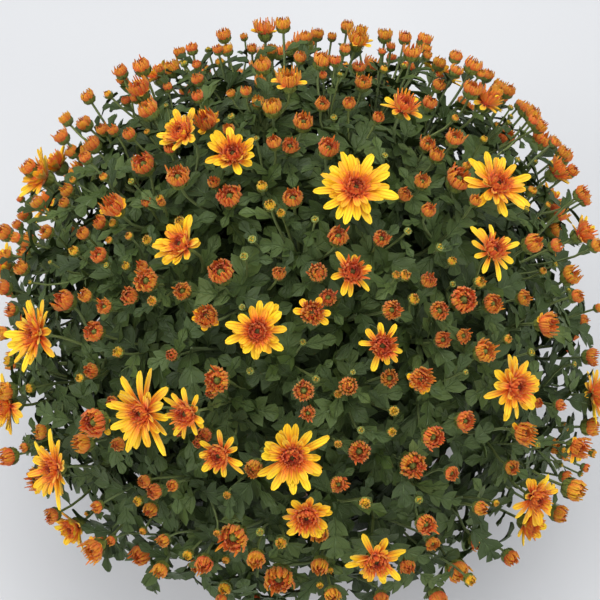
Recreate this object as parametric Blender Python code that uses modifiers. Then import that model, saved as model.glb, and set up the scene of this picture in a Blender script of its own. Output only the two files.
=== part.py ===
"""Pot chrysanthemum: a cushion of leafy stems that carry buds and daisy blooms, in a plain nursery pot.

Metres, +Z up. The origin is the middle of the pot's flat underside.
The cushion is a dome in two halves, an upper one with DOME_RISE and a shallow lower one with DOME_DROP.
Each leafy stem keeps to its own cell of the dome, so that no leaf or bud crosses another stem's.
"""

import collections
import math
import random

import bmesh
import bpy
from mathutils import Matrix, Vector
from mathutils.bvhtree import BVHTree

GAP = 0.0003
SEED = 11
GOLDEN_TURN = math.pi * (3 - math.sqrt(5))

# Nursery pot
POT_HEIGHT = 0.170
POT_TOP_R = 0.108
POT_BASE_R = 0.080
POT_WALL = 0.0025
POT_SIDES = 24
BAND_HEIGHT = 0.026
BAND_PROUD = 0.004
DRAIN_HOLES = 6
DRAIN_HOLE_R = 0.006
DRAIN_CIRCLE_R = 0.052

# Potting mix
SOIL_TOP_Z = 0.148
SOIL_MOUND = 0.006
HOLE_DEPTH = 0.030

# Cushion of heads
DOME_Z = 0.225
DOME_R = 0.250
DOME_RISE = 0.245
DOME_DROP = 0.120

# Leafy stems
STEMS = 14
SKIRT = 0.30
FOOT_CIRCLE_R = 0.070
STEM_FOOT_R = 0.0034
STEM_TOP_R = 0.0024
CORE_SHARE = 0.62
CORE_DEPTH = 0.08
CORE_SPREAD = 0.85
CORE_CRUMPLE = 0.03
CORE_GAP = 0.003
CORE_SIDES = 10
CELL_MARGIN = 0.0012

# Leaves, in rosettes
ROSETTES_PER_STEM = 3
ROSETTE_LEAVES = 4
HUB_R = 0.006
ROSETTE_REACH = 0.25
ROSETTE_SHARES = (0.80, 0.84, 0.88)
LEAF_LENGTHS = (0.050, 0.060)
LEAF_THICKNESS = 0.0009
LEAF_RISES = (0.40, 0.80)
LEAF_DROOP = 0.35
SHORTEST_LEAF = 0.014
# Half of a lobed leaf's edge from its root: degrees from the rib, share of the length, height of the fold
LEAF_EDGE = ((35, 0.56, 0.10), (16, 0.47, 0.02), (20, 0.79, 0.08))

# Buds
STALK_R = 0.0012
HIDDEN_BUDS = 5
HIDDEN_BUD_WIDTHS = (0.012, 0.017)
BUD_SHARE = 0.98
HEAD_LIFT = 0.3

# The photograph's camera, which places the flowers that it shows
CAMERA_ELEVATION = math.radians(62)
CAMERA_DISTANCE = 1.25
CAMERA_AIM = Vector((0, 0.0155, 0.248))
FOCAL_PX = 1478
PHOTO_MIDDLE_PX = 300

Flower = collections.namedtuple("Flower", "column row span_mm petals")
# Open flowers, at their column and row in the photograph, with their span and their long petals
OPEN_FLOWERS = (
    Flower(355, 190, 60, 22),
    Flower(495, 187, 56, 20),
    Flower(145, 412, 60, 18),
    Flower(292, 455, 56, 18),
    Flower(258, 331, 48, 16),
    Flower(39, 334, 58, 20),
    Flower(57, 468, 56, 18),
    Flower(3, 408, 56, 18),
    Flower(46, 178, 48, 18),
    Flower(185, 135, 42, 14),
    Flower(233, 156, 46, 10),
    Flower(184, 246, 48, 13),
    Flower(491, 252, 48, 9),
    Flower(513, 387, 54, 15),
    Flower(533, 497, 50, 13),
    Flower(375, 558, 48, 12),
    Flower(307, 514, 44, 12),
    Flower(222, 453, 48, 9),
    Flower(192, 412, 42, 10),
    Flower(594, 395, 50, 14),
    Flower(552, 545, 42, 12),
    Flower(76, 526, 42, 14),
    Flower(484, 104, 40, 9),
    Flower(8, 268, 44, 14),
    Flower(590, 152, 40, 10),
    Flower(579, 236, 42, 9),
    Flower(30, 146, 38, 12),
    Flower(351, 273, 38, 7),
    Flower(381, 346, 38, 8),
    Flower(402, 110, 38, 9),
)
# Half-open flowers: an orange cup with the few petals that have unrolled
HALF_FLOWERS = (
    Flower(309, 314, 34, 5),
    Flower(422, 378, 32, 4),
    Flower(290, 84, 36, 6),
    Flower(116, 209, 32, 6),
    Flower(543, 326, 28, 5),
    Flower(522, 430, 32, 4),
    Flower(30, 485, 34, 8),
)
Bud = collections.namedtuple("Bud", "column row width_mm")
# The largest buds, at their column and row in the photograph
BUDS = (
    Bud(149, 111, 16),
    Bud(144, 165, 17),
    Bud(24, 165, 14),
    Bud(205, 85, 15),
    Bud(303, 123, 14),
    Bud(412, 53, 14),
    Bud(478, 58, 14),
    Bud(541, 140, 17),
    Bud(458, 180, 18),
    Bud(221, 273, 18),
    Bud(147, 281, 16),
    Bud(95, 332, 15),
    Bud(65, 301, 17),
    Bud(463, 300, 18),
    Bud(570, 276, 15),
    Bud(484, 352, 15),
    Bud(218, 380, 17),
    Bud(359, 451, 15),
    Bud(432, 437, 15),
    Bud(412, 465, 18),
    Bud(234, 537, 20),
    Bud(279, 578, 21),
    Bud(142, 554, 17),
    Bud(457, 570, 18),
    Bud(95, 422, 19),
    Bud(597, 503, 18),
)
# Flowers on the far side, which the photograph hides
FAR_FLOWERS = 5
FAR_SPAN_MM = 52
FAR_PETALS = 14
LIFTS = (0, 0.006, -0.006, 0.012, -0.012, 0.018, 0.024, 0.030)
DISC_R = 0.0085
DISC_HEIGHT = 0.0036
CUP_R = 0.0075
CUP_HEIGHT = 0.0085
CUP_SIDES = 7
SHORT_PETAL = 0.0050
CALYX_R = 0.0068
CALYX_DEPTH = 0.008
PETAL_THICKNESS = 0.0009
PETAL_WIDTH_SHARE = 0.145
WIDEST_SHARE = 0.66

Head = collections.namedtuple("Head", "place axis span petals half")


def camera_axes():
    """The camera's right, up and forward directions."""
    sine = math.sin(CAMERA_ELEVATION)
    cosine = math.cos(CAMERA_ELEVATION)
    return Vector((1, 0, 0)), Vector((0, sine, cosine)), Vector((0, cosine, -sine))


def on_dome(way, share=1.0):
    """The point at a share of the cushion's size, where way is a direction on a unit ball."""
    rise = DOME_RISE if way.z > 0 else DOME_DROP
    return Vector((DOME_R * way.x, DOME_R * way.y, rise * way.z)) * share + Vector((0, 0, DOME_Z))


def outward(way):
    """The direction out of the cushion at way, and never far below the horizon."""
    rise = DOME_RISE if way.z > 0 else DOME_DROP
    return Vector((way.x / DOME_R, way.y / DOME_R, max(way.z, -0.1) / rise)).normalized()


def head_axis(way):
    """The direction that a flower or bud at way faces: outwards, and turned up to the light."""
    return (outward(way) + Vector((0, 0, HEAD_LIFT))).normalized()


def way_under_pixel(column, row):
    """The direction on a unit ball of the cushion's surface under a pixel of the photograph."""
    right, up, forward = camera_axes()
    across = (column - PHOTO_MIDDLE_PX) / FOCAL_PX
    above = (PHOTO_MIDDLE_PX - row) / FOCAL_PX
    ray = forward + right * across + up * above
    start = CAMERA_AIM - forward * CAMERA_DISTANCE - Vector((0, 0, DOME_Z))
    for rise in (DOME_RISE, DOME_DROP):
        shrink = Vector((1 / DOME_R, 1 / DOME_R, 1 / rise))
        origin = start * shrink
        step = ray * shrink
        along = origin.dot(step)
        square = step.length_squared
        reach = along * along - square * (origin.length_squared - 1)
        hit = origin + step * ((-along - math.sqrt(max(reach, 0))) / square)
        if hit.z >= 0:
            break
    return hit.normalized()


def far_ways():
    """Directions of the flowers behind the cushion, in a zigzag from right to left."""
    for number in range(FAR_FLOWERS):
        turn = math.radians(28 + 31 * number)
        height = 0.34 if number % 2 else 0.05
        level = math.sqrt(1 - height * height)
        yield Vector((level * math.cos(turn), level * math.sin(turn), height))


def flower_heads():
    """Every flower that gets a node of its own."""
    heads = []
    for flower in OPEN_FLOWERS + HALF_FLOWERS:
        way = way_under_pixel(flower.column, flower.row)
        half = flower in HALF_FLOWERS
        heads.append(Head(on_dome(way), head_axis(way), flower.span_mm / 1000, flower.petals, half))
    for way in far_ways():
        heads.append(Head(on_dome(way), head_axis(way), FAR_SPAN_MM / 1000, FAR_PETALS, False))
    return heads


def cell_ways():
    """Directions of the stems' cells, in a golden spiral from the top down to the skirt."""
    for number in range(STEMS):
        height = 1 - (number + 0.5) * (1 + SKIRT) / STEMS
        level = math.sqrt(1 - height * height)
        turn = number * GOLDEN_TURN
        yield Vector((level * math.cos(turn), level * math.sin(turn), height))


def room_in_cell(place, middles, number):
    """How far a place lies inside the cell of one stem, from the nearest wall between two cells."""
    own = middles[number]
    return min(
        ((own + other) / 2 - place).dot((other - own).normalized())
        for index, other in enumerate(middles)
        if index != number
    )


def nearest_cell(place, middles):
    return min(range(len(middles)), key=lambda number: (place - middles[number]).length)


def facing(place, axis, twist=0.0):
    """The matrix that stands a piece modelled along +Z at a place, along an axis."""
    turn = axis.to_track_quat("Z", "Y").to_matrix().to_4x4()
    return Matrix.Translation(place) @ turn @ Matrix.Rotation(twist, 4, "Z")


def mesh_of(bm, name):
    """A mesh that faces outwards all over."""
    bmesh.ops.recalc_face_normals(bm, faces=bm.faces)
    if bm.calc_volume(signed=True) < 0:
        bmesh.ops.reverse_faces(bm, faces=bm.faces)
    mesh = bpy.data.meshes.new(name)
    bm.to_mesh(mesh)
    bm.free()
    return mesh


def material(name, colour, roughness):
    made = bpy.data.materials.new(name)
    made.use_nodes = True
    shader = made.node_tree.nodes["Principled BSDF"]
    shader.inputs["Base Color"].default_value = (*colour, 1)
    shader.inputs["Roughness"].default_value = roughness
    shader.inputs["Metallic"].default_value = 0
    return made


def node(name, mesh, finish, collection):
    made = bpy.data.objects.new(name, mesh)
    mesh.materials.clear()
    mesh.materials.append(finish)
    collection.objects.link(made)
    return made


def clear_scene():
    for old in list(bpy.data.objects):
        bpy.data.objects.remove(old)


def turned(name, profile, sides, collection):
    """A turned solid: a profile of radius and height pairs, down its outer side, with a Screw."""
    mesh = bpy.data.meshes.new(name)
    points = [(radius, 0, height) for radius, height in profile]
    mesh.from_pydata(points, [(i, i + 1) for i in range(len(points) - 1)], [])
    made = bpy.data.objects.new(name, mesh)
    collection.objects.link(made)
    screw = made.modifiers.new("turn", "SCREW")
    screw.steps = screw.render_steps = sides
    screw.use_merge_vertices = True
    screw.merge_threshold = 0.00005
    return made


def cut(target, cutters):
    modifier = target.modifiers.new("cut", "BOOLEAN")
    modifier.operation = "DIFFERENCE"
    modifier.operand_type = "COLLECTION"
    modifier.collection = cutters


def cutter(name, place, radius, height, sides, collection):
    """An upright round cutter whose foot is at a place."""
    bm = bmesh.new()
    middle = Matrix.Translation(place + Vector((0, 0, height / 2)))
    bmesh.ops.create_cone(
        bm, cap_ends=True, segments=sides, radius1=radius, radius2=radius, depth=height, matrix=middle
    )
    made = bpy.data.objects.new(name, mesh_of(bm, name))
    made.hide_render = True
    made.display_type = "WIRE"
    collection.objects.link(made)


def pot_inner_r(height):
    """The inside radius of the pot's tapered wall at a height."""
    return POT_BASE_R + (POT_TOP_R - POT_BASE_R) * height / POT_HEIGHT - POT_WALL


def make_pot(parts, cutters, finish):
    """Thin tapered pot with a proud band at its rim and drain holes through its floor."""
    band_foot = POT_HEIGHT - BAND_HEIGHT
    profile = (
        (0, POT_WALL),
        (pot_inner_r(POT_WALL), POT_WALL),
        (pot_inner_r(POT_HEIGHT), POT_HEIGHT),
        (POT_TOP_R + BAND_PROUD, POT_HEIGHT),
        (POT_TOP_R + BAND_PROUD - 0.001, band_foot),
        (pot_inner_r(band_foot) + POT_WALL, band_foot - 0.003),
        (POT_BASE_R, 0.002),
        (POT_BASE_R - 0.003, 0),
        (0, 0),
    )
    pot = turned("pot", profile, POT_SIDES, parts)
    pot.data.materials.append(finish)
    for number in range(DRAIN_HOLES):
        turn = 2 * math.pi * (number + 0.5) / DRAIN_HOLES
        place = Vector((math.cos(turn), math.sin(turn), 0)) * DRAIN_CIRCLE_R - Vector((0, 0, 0.005))
        cutter(f"drain_cutter_{number}", place, DRAIN_HOLE_R, 0.015, 6, cutters)
    cut(pot, cutters)


def stem_feet(ways):
    """Where each stem enters the potting mix: below its cell, and nearer the middle for the top ones."""
    reach = math.acos(-SKIRT)
    for way in ways:
        level = Vector((way.x, way.y, 0)).normalized()
        yield level * FOOT_CIRCLE_R * (0.12 + 0.88 * math.acos(way.z) / reach)


def pot_space():
    """The room that the pot takes up, which the foliage keeps out of."""
    bm = bmesh.new()
    bmesh.ops.create_cone(
        bm,
        cap_ends=True,
        segments=POT_SIDES,
        radius1=POT_BASE_R + BAND_PROUD,
        radius2=POT_TOP_R + 2 * BAND_PROUD,
        depth=POT_HEIGHT + 2 * BAND_PROUD,
        matrix=Matrix.Translation(Vector((0, 0, POT_HEIGHT / 2))),
    )
    return mesh_of(bm, "pot_space")


def make_soil(parts, cutters, finish, feet):
    """Potting mix that fills the pot, with a plain hole for each stem."""
    foot = POT_WALL + GAP
    profile = (
        (0, SOIL_TOP_Z + SOIL_MOUND),
        (pot_inner_r(SOIL_TOP_Z) * 0.55, SOIL_TOP_Z + SOIL_MOUND * 0.7),
        (pot_inner_r(SOIL_TOP_Z) - GAP * 1.5, SOIL_TOP_Z),
        (pot_inner_r(foot) - GAP * 1.5, foot),
        (0, foot),
    )
    soil = turned("soil", profile, POT_SIDES, parts)
    soil.data.materials.append(finish)
    for number, place in enumerate(feet):
        place = place + Vector((0, 0, SOIL_TOP_Z - HOLE_DEPTH))
        cutter(f"hole_cutter_{number}", place, STEM_FOOT_R * 1.2 + GAP, 2 * HOLE_DEPTH, 6, cutters)
    cut(soil, cutters)


def pentagon(collection):
    """The section of every tube: five sides on a circle of 1 m, which a point's radius then shrinks."""
    curve = bpy.data.curves.new("section", "CURVE")
    spline = curve.splines.new("POLY")
    spline.points.add(4)
    for number, point in enumerate(spline.points):
        turn = 2 * math.pi * number / 5
        point.co = (math.cos(turn), math.sin(turn), 0, 1)
    spline.use_cyclic_u = True
    made = bpy.data.objects.new("section", curve)
    made.hide_render = True
    collection.objects.link(made)
    return made


def tube(points, radii, section):
    """A tube mesh through points, with a radius at each, as a bevelled curve with filled caps."""
    curve = bpy.data.curves.new("route", "CURVE")
    curve.dimensions = "3D"
    spline = curve.splines.new("POLY")
    spline.points.add(len(points) - 1)
    for point, place, radius in zip(spline.points, points, radii):
        point.co = (*place, 1)
        point.radius = radius
    curve.bevel_mode = "OBJECT"
    curve.bevel_object = section
    curve.use_fill_caps = True
    guide = bpy.data.objects.new("route", curve)
    bpy.context.scene.collection.objects.link(guide)
    graph = bpy.context.evaluated_depsgraph_get()
    bm = bmesh.new()
    bm.from_mesh(bpy.data.meshes.new_from_object(guide.evaluated_get(graph)))
    bpy.data.objects.remove(guide)
    bmesh.ops.remove_doubles(bm, verts=bm.verts, dist=0.00001)
    return mesh_of(bm, "tube")


def core(way, middles, number, draw):
    """The dense inside of one stem's foliage: a crumpled ball laid along the dome, kept in its own cell."""
    across, along, _ = facing(Vector(), way).to_3x3().col
    own = middles[number]
    bm = bmesh.new()
    bmesh.ops.create_uvsphere(bm, u_segments=CORE_SIDES, v_segments=4, radius=1)
    for vertex in bm.verts:
        spread = across * vertex.co.x + along * vertex.co.y
        share = CORE_SHARE + CORE_DEPTH * vertex.co.z + draw.uniform(-CORE_CRUMPLE, CORE_CRUMPLE)
        reach = on_dome((way + spread * CORE_SPREAD).normalized(), share) - own
        floor = POT_HEIGHT + CORE_GAP - own.z
        keep = min(1.0, floor / reach.z) if reach.z < 0 else 1.0
        for index, other in enumerate(middles):
            if index != number:
                wall = (other - own).length / 2 - CORE_GAP / 2
                towards = reach.dot((other - own).normalized())
                keep = min(keep, wall / towards if towards > wall else 1.0)
        vertex.co = own + reach * keep
    return mesh_of(bm, "core")


def stem_route(foot, middle, way):
    """Straight up out of the potting mix, then a smooth curve into the stem's core."""
    ground = Vector((foot.x, foot.y, SOIL_TOP_Z))
    start = ground + Vector((0, 0, 0.012))
    end = middle + outward(way) * 0.004
    lift = Vector((0, 0, 0.5 * (end - start).length))
    lean = outward(way) * 0.35 * (end - start).length
    points = [ground - Vector((0, 0, HOLE_DEPTH - GAP)), start]
    for share in (0.45, 1.0):
        rest = 1 - share
        curve = start * rest**3 + (start + lift) * 3 * rest**2 * share
        points.append(curve + (end - lean) * 3 * rest * share**2 + end * share**3)
    return points


def leaf_points(turn, length, rise):
    """A lobed leaf's edge from one side of its root to the other, raised from the hub and folded up."""
    half = [(-side, share, fold) for side, share, fold in LEAF_EDGE]
    other = [(-side, share, fold) for side, share, fold in reversed(half)]
    points = []
    for side, share, fold in half + [(0, 1, 0)] + other:
        angle = turn + math.radians(side)
        lift = rise * share * (1 - LEAF_DROOP * share) + fold
        points.append(Vector((math.cos(angle) * share, math.sin(angle) * share, lift)) * length)
    return points


def rosette_mesh(turns, lengths, rises, thickness, root=None):
    """Lobed leaves round a small flat hub, as one thickened blade whose underside may be drawn out to a root."""
    bm = bmesh.new()
    count = len(turns)
    notches = []
    for leaf in range(count):
        middle = turns[leaf] - math.pi / count
        notches.append(bm.verts.new((HUB_R * math.cos(middle), HUB_R * math.sin(middle), 0)))
    bm.faces.new(notches)
    for leaf in range(count):
        points = leaf_points(turns[leaf], lengths[leaf], rises[leaf])
        lobe, pinch, shoulder, tip, shoulder_2, pinch_2, lobe_2 = [bm.verts.new(point) for point in points]
        near, far = notches[leaf], notches[(leaf + 1) % count]
        for corners in (
            (near, lobe, pinch),
            (near, pinch, pinch_2),
            (near, pinch_2, far),
            (far, pinch_2, lobe_2),
            (pinch, shoulder, tip),
            (pinch, tip, pinch_2),
            (pinch_2, tip, shoulder_2),
        ):
            bm.faces.new(corners)
    bmesh.ops.recalc_face_normals(bm, faces=bm.faces)
    bmesh.ops.solidify(bm, geom=bm.faces, thickness=thickness)
    if root:
        hubs = [face for face in bm.faces if face.calc_center_median().to_2d().length < HUB_R / 4]
        lower = min(hubs, key=lambda face: face.calc_center_median().z)
        drawn = bmesh.ops.extrude_discrete_faces(bm, faces=[lower])["faces"][0]
        for vertex in drawn.verts:
            vertex.co = root + (vertex.co - Vector((0, 0, vertex.co.z))) * (STALK_R / HUB_R)
    return mesh_of(bm, "rosette")


def tree_of(mesh):
    corners = [vertex.co.copy() for vertex in mesh.vertices]
    return BVHTree.FromPolygons(corners, [tuple(face.vertices) for face in mesh.polygons])


def crosses(mesh, trees):
    own = tree_of(mesh)
    return any(own.overlap(tree) for tree in trees)


def inside(mesh, middles, number):
    return all(room_in_cell(v.co, middles, number) > CELL_MARGIN for v in mesh.vertices)


def hub_matrix(way, turn, share):
    """Where a rosette sits: above the core, a little way round from the middle of its cell."""
    across, along, _ = facing(Vector(), way).to_3x3().col
    side = across * math.cos(turn) + along * math.sin(turn)
    hub_way = (way + side * ROSETTE_REACH).normalized()
    return facing(on_dome(hub_way, share), outward(hub_way), turn)


def leaf_fits(matrix, leaf, turn, length, rise, middles, number, trees):
    """Whether one leaf of a rosette stays in its cell and clear of what the trees hold."""
    turns = [2 * math.pi * other / ROSETTE_LEAVES for other in range(ROSETTE_LEAVES)]
    lengths = [SHORTEST_LEAF] * ROSETTE_LEAVES
    turns[leaf], lengths[leaf] = turn, length
    probe = rosette_mesh(turns, lengths, [rise] * ROSETTE_LEAVES, 2 * LEAF_THICKNESS)
    probe.transform(matrix)
    return inside(probe, middles, number) and not crosses(probe, trees)


def rosette(matrix, middles, number, trees, stalk_trees, draw):
    """Leaves that end short of other stems, flowers and the pot, and pass between stalks where they can."""
    turns, lengths, rises = [], [], []
    for leaf in range(ROSETTE_LEAVES):
        turn = 2 * math.pi * leaf / ROSETTE_LEAVES + draw.uniform(-0.1, 0.1)
        length = draw.uniform(*LEAF_LENGTHS)
        rise = draw.uniform(*LEAF_RISES)
        while length > SHORTEST_LEAF:
            if leaf_fits(matrix, leaf, turn, length, rise, middles, number, trees):
                break
            length *= 0.9
        for swing in (0, 0.16, -0.16, 0.32, -0.32):
            if leaf_fits(matrix, leaf, turn + swing, length, rise, middles, number, trees + stalk_trees):
                turn += swing
                break
        turns.append(turn)
        lengths.append(length)
        rises.append(rise)
    root = matrix.inverted() @ middles[number].lerp(matrix.translation, 0.15)
    mesh = rosette_mesh(turns, lengths, rises, LEAF_THICKNESS, root)
    mesh.transform(matrix)
    return mesh


def rosettes(way, middles, number, trees, stalk_trees, draw):
    """The rosettes of one stem, turned together to the place where they have most room."""
    best = []
    for attempt in range(6):
        first = 2 * math.pi * attempt / 6 / ROSETTES_PER_STEM
        turns = [first + 2 * math.pi * index / ROSETTES_PER_STEM for index in range(ROSETTES_PER_STEM)]
        matrices = [hub_matrix(way, turn, share) for turn, share in zip(turns, ROSETTE_SHARES)]
        room = sum(min(room_in_cell(m.translation, middles, number), LEAF_LENGTHS[1]) for m in matrices)
        best.append((room, attempt, matrices))
    made = []
    for matrix in max(best)[2]:
        leaves = rosette(matrix, middles, number, trees, stalk_trees, draw)
        made.append(leaves)
        trees = trees + [tree_of(leaves)]
    return made


def stalk_with_cup(head, middle, section):
    """A flower's stalk from its core up to the green cup under the petals."""
    neck = head.place - head.axis * CALYX_DEPTH
    root = middle.lerp(neck, 0.12)
    size = min(head.span / 0.05, 1.1)
    return tube((root, neck, head.place), (STALK_R * 1.2, STALK_R * 1.2, CALYX_R * size), section)


def bud_on_stalk(place, axis, width, middle, section):
    """A bud as wide as it is tall, closed at its top, on a stalk from its core."""
    neck = place - axis * width * 0.55
    belly = place - axis * width * 0.05
    tip = place + axis * width * 0.42
    root = middle.lerp(neck, 0.12)
    radii = (STALK_R, STALK_R, width / 2, width * 0.30)
    return tube((root, neck, belly, tip), radii, section)


def steady_ways(count):
    """Directions spread evenly over the dome, down to the skirt, by a steady two-way sequence."""
    plastic = 1.32471795724
    for number in range(count):
        turn = 2 * math.pi * ((0.5 + number / plastic) % 1)
        height = 1 - (1 + SKIRT) * ((0.5 + number / plastic**2) % 1)
        level = math.sqrt(1 - height * height)
        yield Vector((level * math.cos(turn), level * math.sin(turn), height))


def bud_spots():
    """The direction and width of each bud: first those of the photograph, then those that it hides."""
    for bud in BUDS:
        yield way_under_pixel(bud.column, bud.row), bud.width_mm / 1000
    forward = camera_axes()[2]
    hidden = [way for way in steady_ways(8 * HIDDEN_BUDS) if outward(way).dot(forward) > 0.15]
    narrow, wide = HIDDEN_BUD_WIDTHS
    for number, way in enumerate(hidden):
        yield way, narrow + (wide - narrow) * (number * 0.618 % 1)


def petal(bm, face, out, reach, width, tilt):
    """Draws one face of the disc out into a petal: wide past its middle, and drawn in to a blunt tip."""
    lift = Vector((0, 0, 1))
    way = out * math.cos(tilt) + lift * math.sin(tilt)
    side = lift.cross(out)
    start = face.calc_center_median()
    middle = start + way * reach * WIDEST_SHARE
    wide = bmesh.ops.extrude_discrete_faces(bm, faces=[face])["faces"][0]
    for vertex in wide.verts:
        left = math.copysign(width / 2, (vertex.co - start).dot(side))
        over = math.copysign(PETAL_THICKNESS / 2, vertex.co.z - start.z)
        vertex.co = middle + side * left + lift * over
    tip = bmesh.ops.extrude_discrete_faces(bm, faces=[wide])["faces"][0]
    end = start + way * reach - lift * reach * 0.03
    bmesh.ops.pointmerge(bm, verts=list(tip.verts), merge_co=end)


def disc_mesh(radius, height, sides):
    """A disc with a ring of short petals on top, and the walls that the long petals grow from."""
    bm = bmesh.new()
    middle = Matrix.Translation(Vector((0, 0, height / 2 + GAP)))
    bmesh.ops.create_cone(
        bm, cap_ends=True, segments=sides, radius1=radius * 0.78, radius2=radius, depth=height, matrix=middle
    )
    top = max(bm.faces, key=lambda face: face.calc_center_median().z)
    walls = [face for face in bm.faces if abs(face.normal.z) < 0.7]
    ring = bmesh.ops.inset_region(bm, faces=[top], thickness=radius * 0.42, depth=-0.0008)["faces"]
    bmesh.ops.poke(bm, faces=ring, offset=SHORT_PETAL)
    return bm, walls


def bloom_mesh(head, draw):
    """The long petals round the disc of an open flower, or the few that have left the cup of a young one."""
    if head.half:
        bm, walls = disc_mesh(CUP_R, CUP_HEIGHT, CUP_SIDES)
        walls = walls[: head.petals]
    else:
        bm, walls = disc_mesh(DISC_R, DISC_HEIGHT, min(10, max(8, round(head.span * 175))))
    radius = CUP_R if head.half else DISC_R
    for number, face in enumerate(walls):
        out = face.calc_center_median()
        out.z = 0
        reach = (head.span / 2 - radius) * draw.uniform(0.84, 1.06)
        tilt = draw.uniform(28, 46) if head.half else draw.uniform(2, 12) + 10 * (number % 2)
        petal(bm, face, out.normalized(), reach, head.span * PETAL_WIDTH_SHARE, math.radians(tilt))
    return mesh_of(bm, "bloom")


def set_blooms(heads, middles, section):
    """Each flower lifted along its axis until its petals are clear of those already set."""
    draw = random.Random(SEED)
    blooms, trees, set_heads, stalks = [], [], [], []
    for head in heads:
        shape = bloom_mesh(head, draw)
        twist = draw.uniform(0, math.pi)
        for lift in LIFTS:
            moved = head._replace(place=head.place + head.axis * lift)
            mesh = shape.copy()
            mesh.transform(facing(moved.place, moved.axis, twist))
            stalk = stalk_with_cup(moved, middles[nearest_cell(moved.place, middles)], section)
            if not crosses(mesh, trees + [tree_of(s) for s in stalks]) and not crosses(stalk, trees):
                break
        else:
            continue
        blooms.append(mesh)
        trees.append(tree_of(mesh))
        stalks.append(stalk)
        set_heads.append(moved)
    return set_heads, blooms, stalks


def largest_body(mesh):
    """Drops the scraps and fills the hollows that a union leaves, which are bodies of their own."""
    bm = bmesh.new()
    bm.from_mesh(mesh)
    left = set(bm.faces)
    bodies = []
    while left:
        body, edge = set(), {left.pop()}
        while edge:
            body |= edge
            edge = {other for face in edge for side in face.edges for other in side.link_faces} - body
        left -= body
        bodies.append(body)
    largest = max(bodies, key=len)
    spare = [face for face in bm.faces if face not in largest]
    bmesh.ops.delete(bm, geom=spare, context="FACES")
    bm.to_mesh(mesh)
    bm.free()
    return mesh


def fuse(name, pieces, finish, parts):
    """Joins pieces that grow from one another into one solid."""
    helpers = bpy.data.collections.new(name + "_pieces")
    bpy.context.scene.collection.children.link(helpers)
    for index, mesh in enumerate(pieces[1:]):
        helpers.objects.link(bpy.data.objects.new(f"{name}_piece_{index}", mesh))
    whole = bpy.data.objects.new("whole", pieces[0])
    bpy.context.scene.collection.objects.link(whole)
    union = whole.modifiers.new("join", "BOOLEAN")
    union.operation = "UNION"
    union.operand_type = "COLLECTION"
    union.collection = helpers
    union.solver = "MANIFOLD"
    graph = bpy.context.evaluated_depsgraph_get()
    joined = bpy.data.meshes.new_from_object(whole.evaluated_get(graph))
    bpy.data.objects.remove(whole)
    for helper in list(helpers.objects):
        bpy.data.objects.remove(helper)
    bpy.data.collections.remove(helpers)
    return node(name, largest_body(joined), finish, parts)


def add_buds(pieces, heads, middles, stalks, owners, trees, section):
    """Puts each bud on its stem where it is clear of the flowers, the other buds and the next stems."""
    taken = [(head.place, 0.30 * head.span) for head in heads]
    most = len(heads) + len(BUDS) + HIDDEN_BUDS
    for way, width in bud_spots():
        place = on_dome(way, BUD_SHARE)
        number = nearest_cell(place, middles)
        bud = bud_on_stalk(place, head_axis(way), width, middles[number], section)
        others = [tree_of(stalk) for stalk, owner in zip(stalks, owners) if owner != number]
        tops = [v.co for v in bud.vertices if (v.co - place).length < 3 * width]
        clear = all((place - spot).length > width / 2 + radius for spot, radius in taken)
        roomy = all(room_in_cell(point, middles, number) > 2 * CELL_MARGIN for point in tops)
        if len(taken) < most and clear and roomy and not crosses(bud, trees + others):
            pieces[number].append(bud)
            taken.append((place, width / 2))


def make_plant(parts, helpers, green, yellow, orange, feet):
    """Flowers first, then each stem with its core, stalks, buds and leaves, which keep clear of them."""
    ways = list(cell_ways())
    middles = [on_dome(way, CORE_SHARE) for way in ways]
    section = pentagon(helpers)
    heads, blooms, stalks = set_blooms(flower_heads(), middles, section)
    owners = [nearest_cell(head.place, middles) for head in heads]
    trees = [tree_of(mesh) for mesh in blooms]
    draw = random.Random(SEED + 1)
    pieces = []
    for number, (way, foot) in enumerate(zip(ways, feet)):
        thin = (STEM_FOOT_R, STEM_FOOT_R, STEM_TOP_R, STEM_TOP_R)
        stem = tube(stem_route(foot, middles[number], way), thin, section)
        own_stalks = [stalk for stalk, owner in zip(stalks, owners) if owner == number]
        pieces.append([core(way, middles, number, draw), stem] + own_stalks)
    add_buds(pieces, heads, middles, stalks, owners, trees, section)
    trees.append(tree_of(pot_space()))
    for number, way in enumerate(ways):
        others = [tree_of(stalk) for stalk, owner in zip(stalks, owners) if owner != number]
        stalk_trees = [tree_of(mesh) for mesh in pieces[number][2:]]
        pieces[number] += rosettes(way, middles, number, trees + others, stalk_trees, draw)
        fuse(f"leafy_stem_{number + 1:02d}", pieces[number], green, parts)
    counts = collections.Counter()
    for head, mesh in zip(heads, blooms):
        kind = "half_bloom" if head.half else "bloom"
        counts[kind] += 1
        node(f"{kind}_{counts[kind]:02d}", mesh, orange if head.half else yellow, parts)


def main():
    clear_scene()
    scene = bpy.context.scene.collection
    parts = bpy.data.collections.new("pot_chrysanthemum")
    helpers = bpy.data.collections.new("helpers")
    drains = bpy.data.collections.new("drain_cutters")
    holes = bpy.data.collections.new("hole_cutters")
    for collection in (parts, helpers, drains, holes):
        scene.children.link(collection)
    plastic = material("pot_plastic", (0.19, 0.075, 0.045), 0.5)
    mix = material("potting_mix", (0.06, 0.04, 0.028), 0.95)
    green = material("leaf_green", (0.07, 0.13, 0.05), 0.55)
    yellow = material("petal_yellow", (0.95, 0.60, 0.05), 0.5)
    orange = material("petal_orange", (0.78, 0.20, 0.04), 0.5)
    feet = list(stem_feet(list(cell_ways())))
    make_plant(parts, helpers, green, yellow, orange, feet)
    make_pot(parts, drains, plastic)
    make_soil(parts, holes, mix, feet)


main()
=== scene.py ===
import collections
import functools
import math
import random

import bmesh
import bpy
import numpy as np
from mathutils import Matrix, Vector


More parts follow.
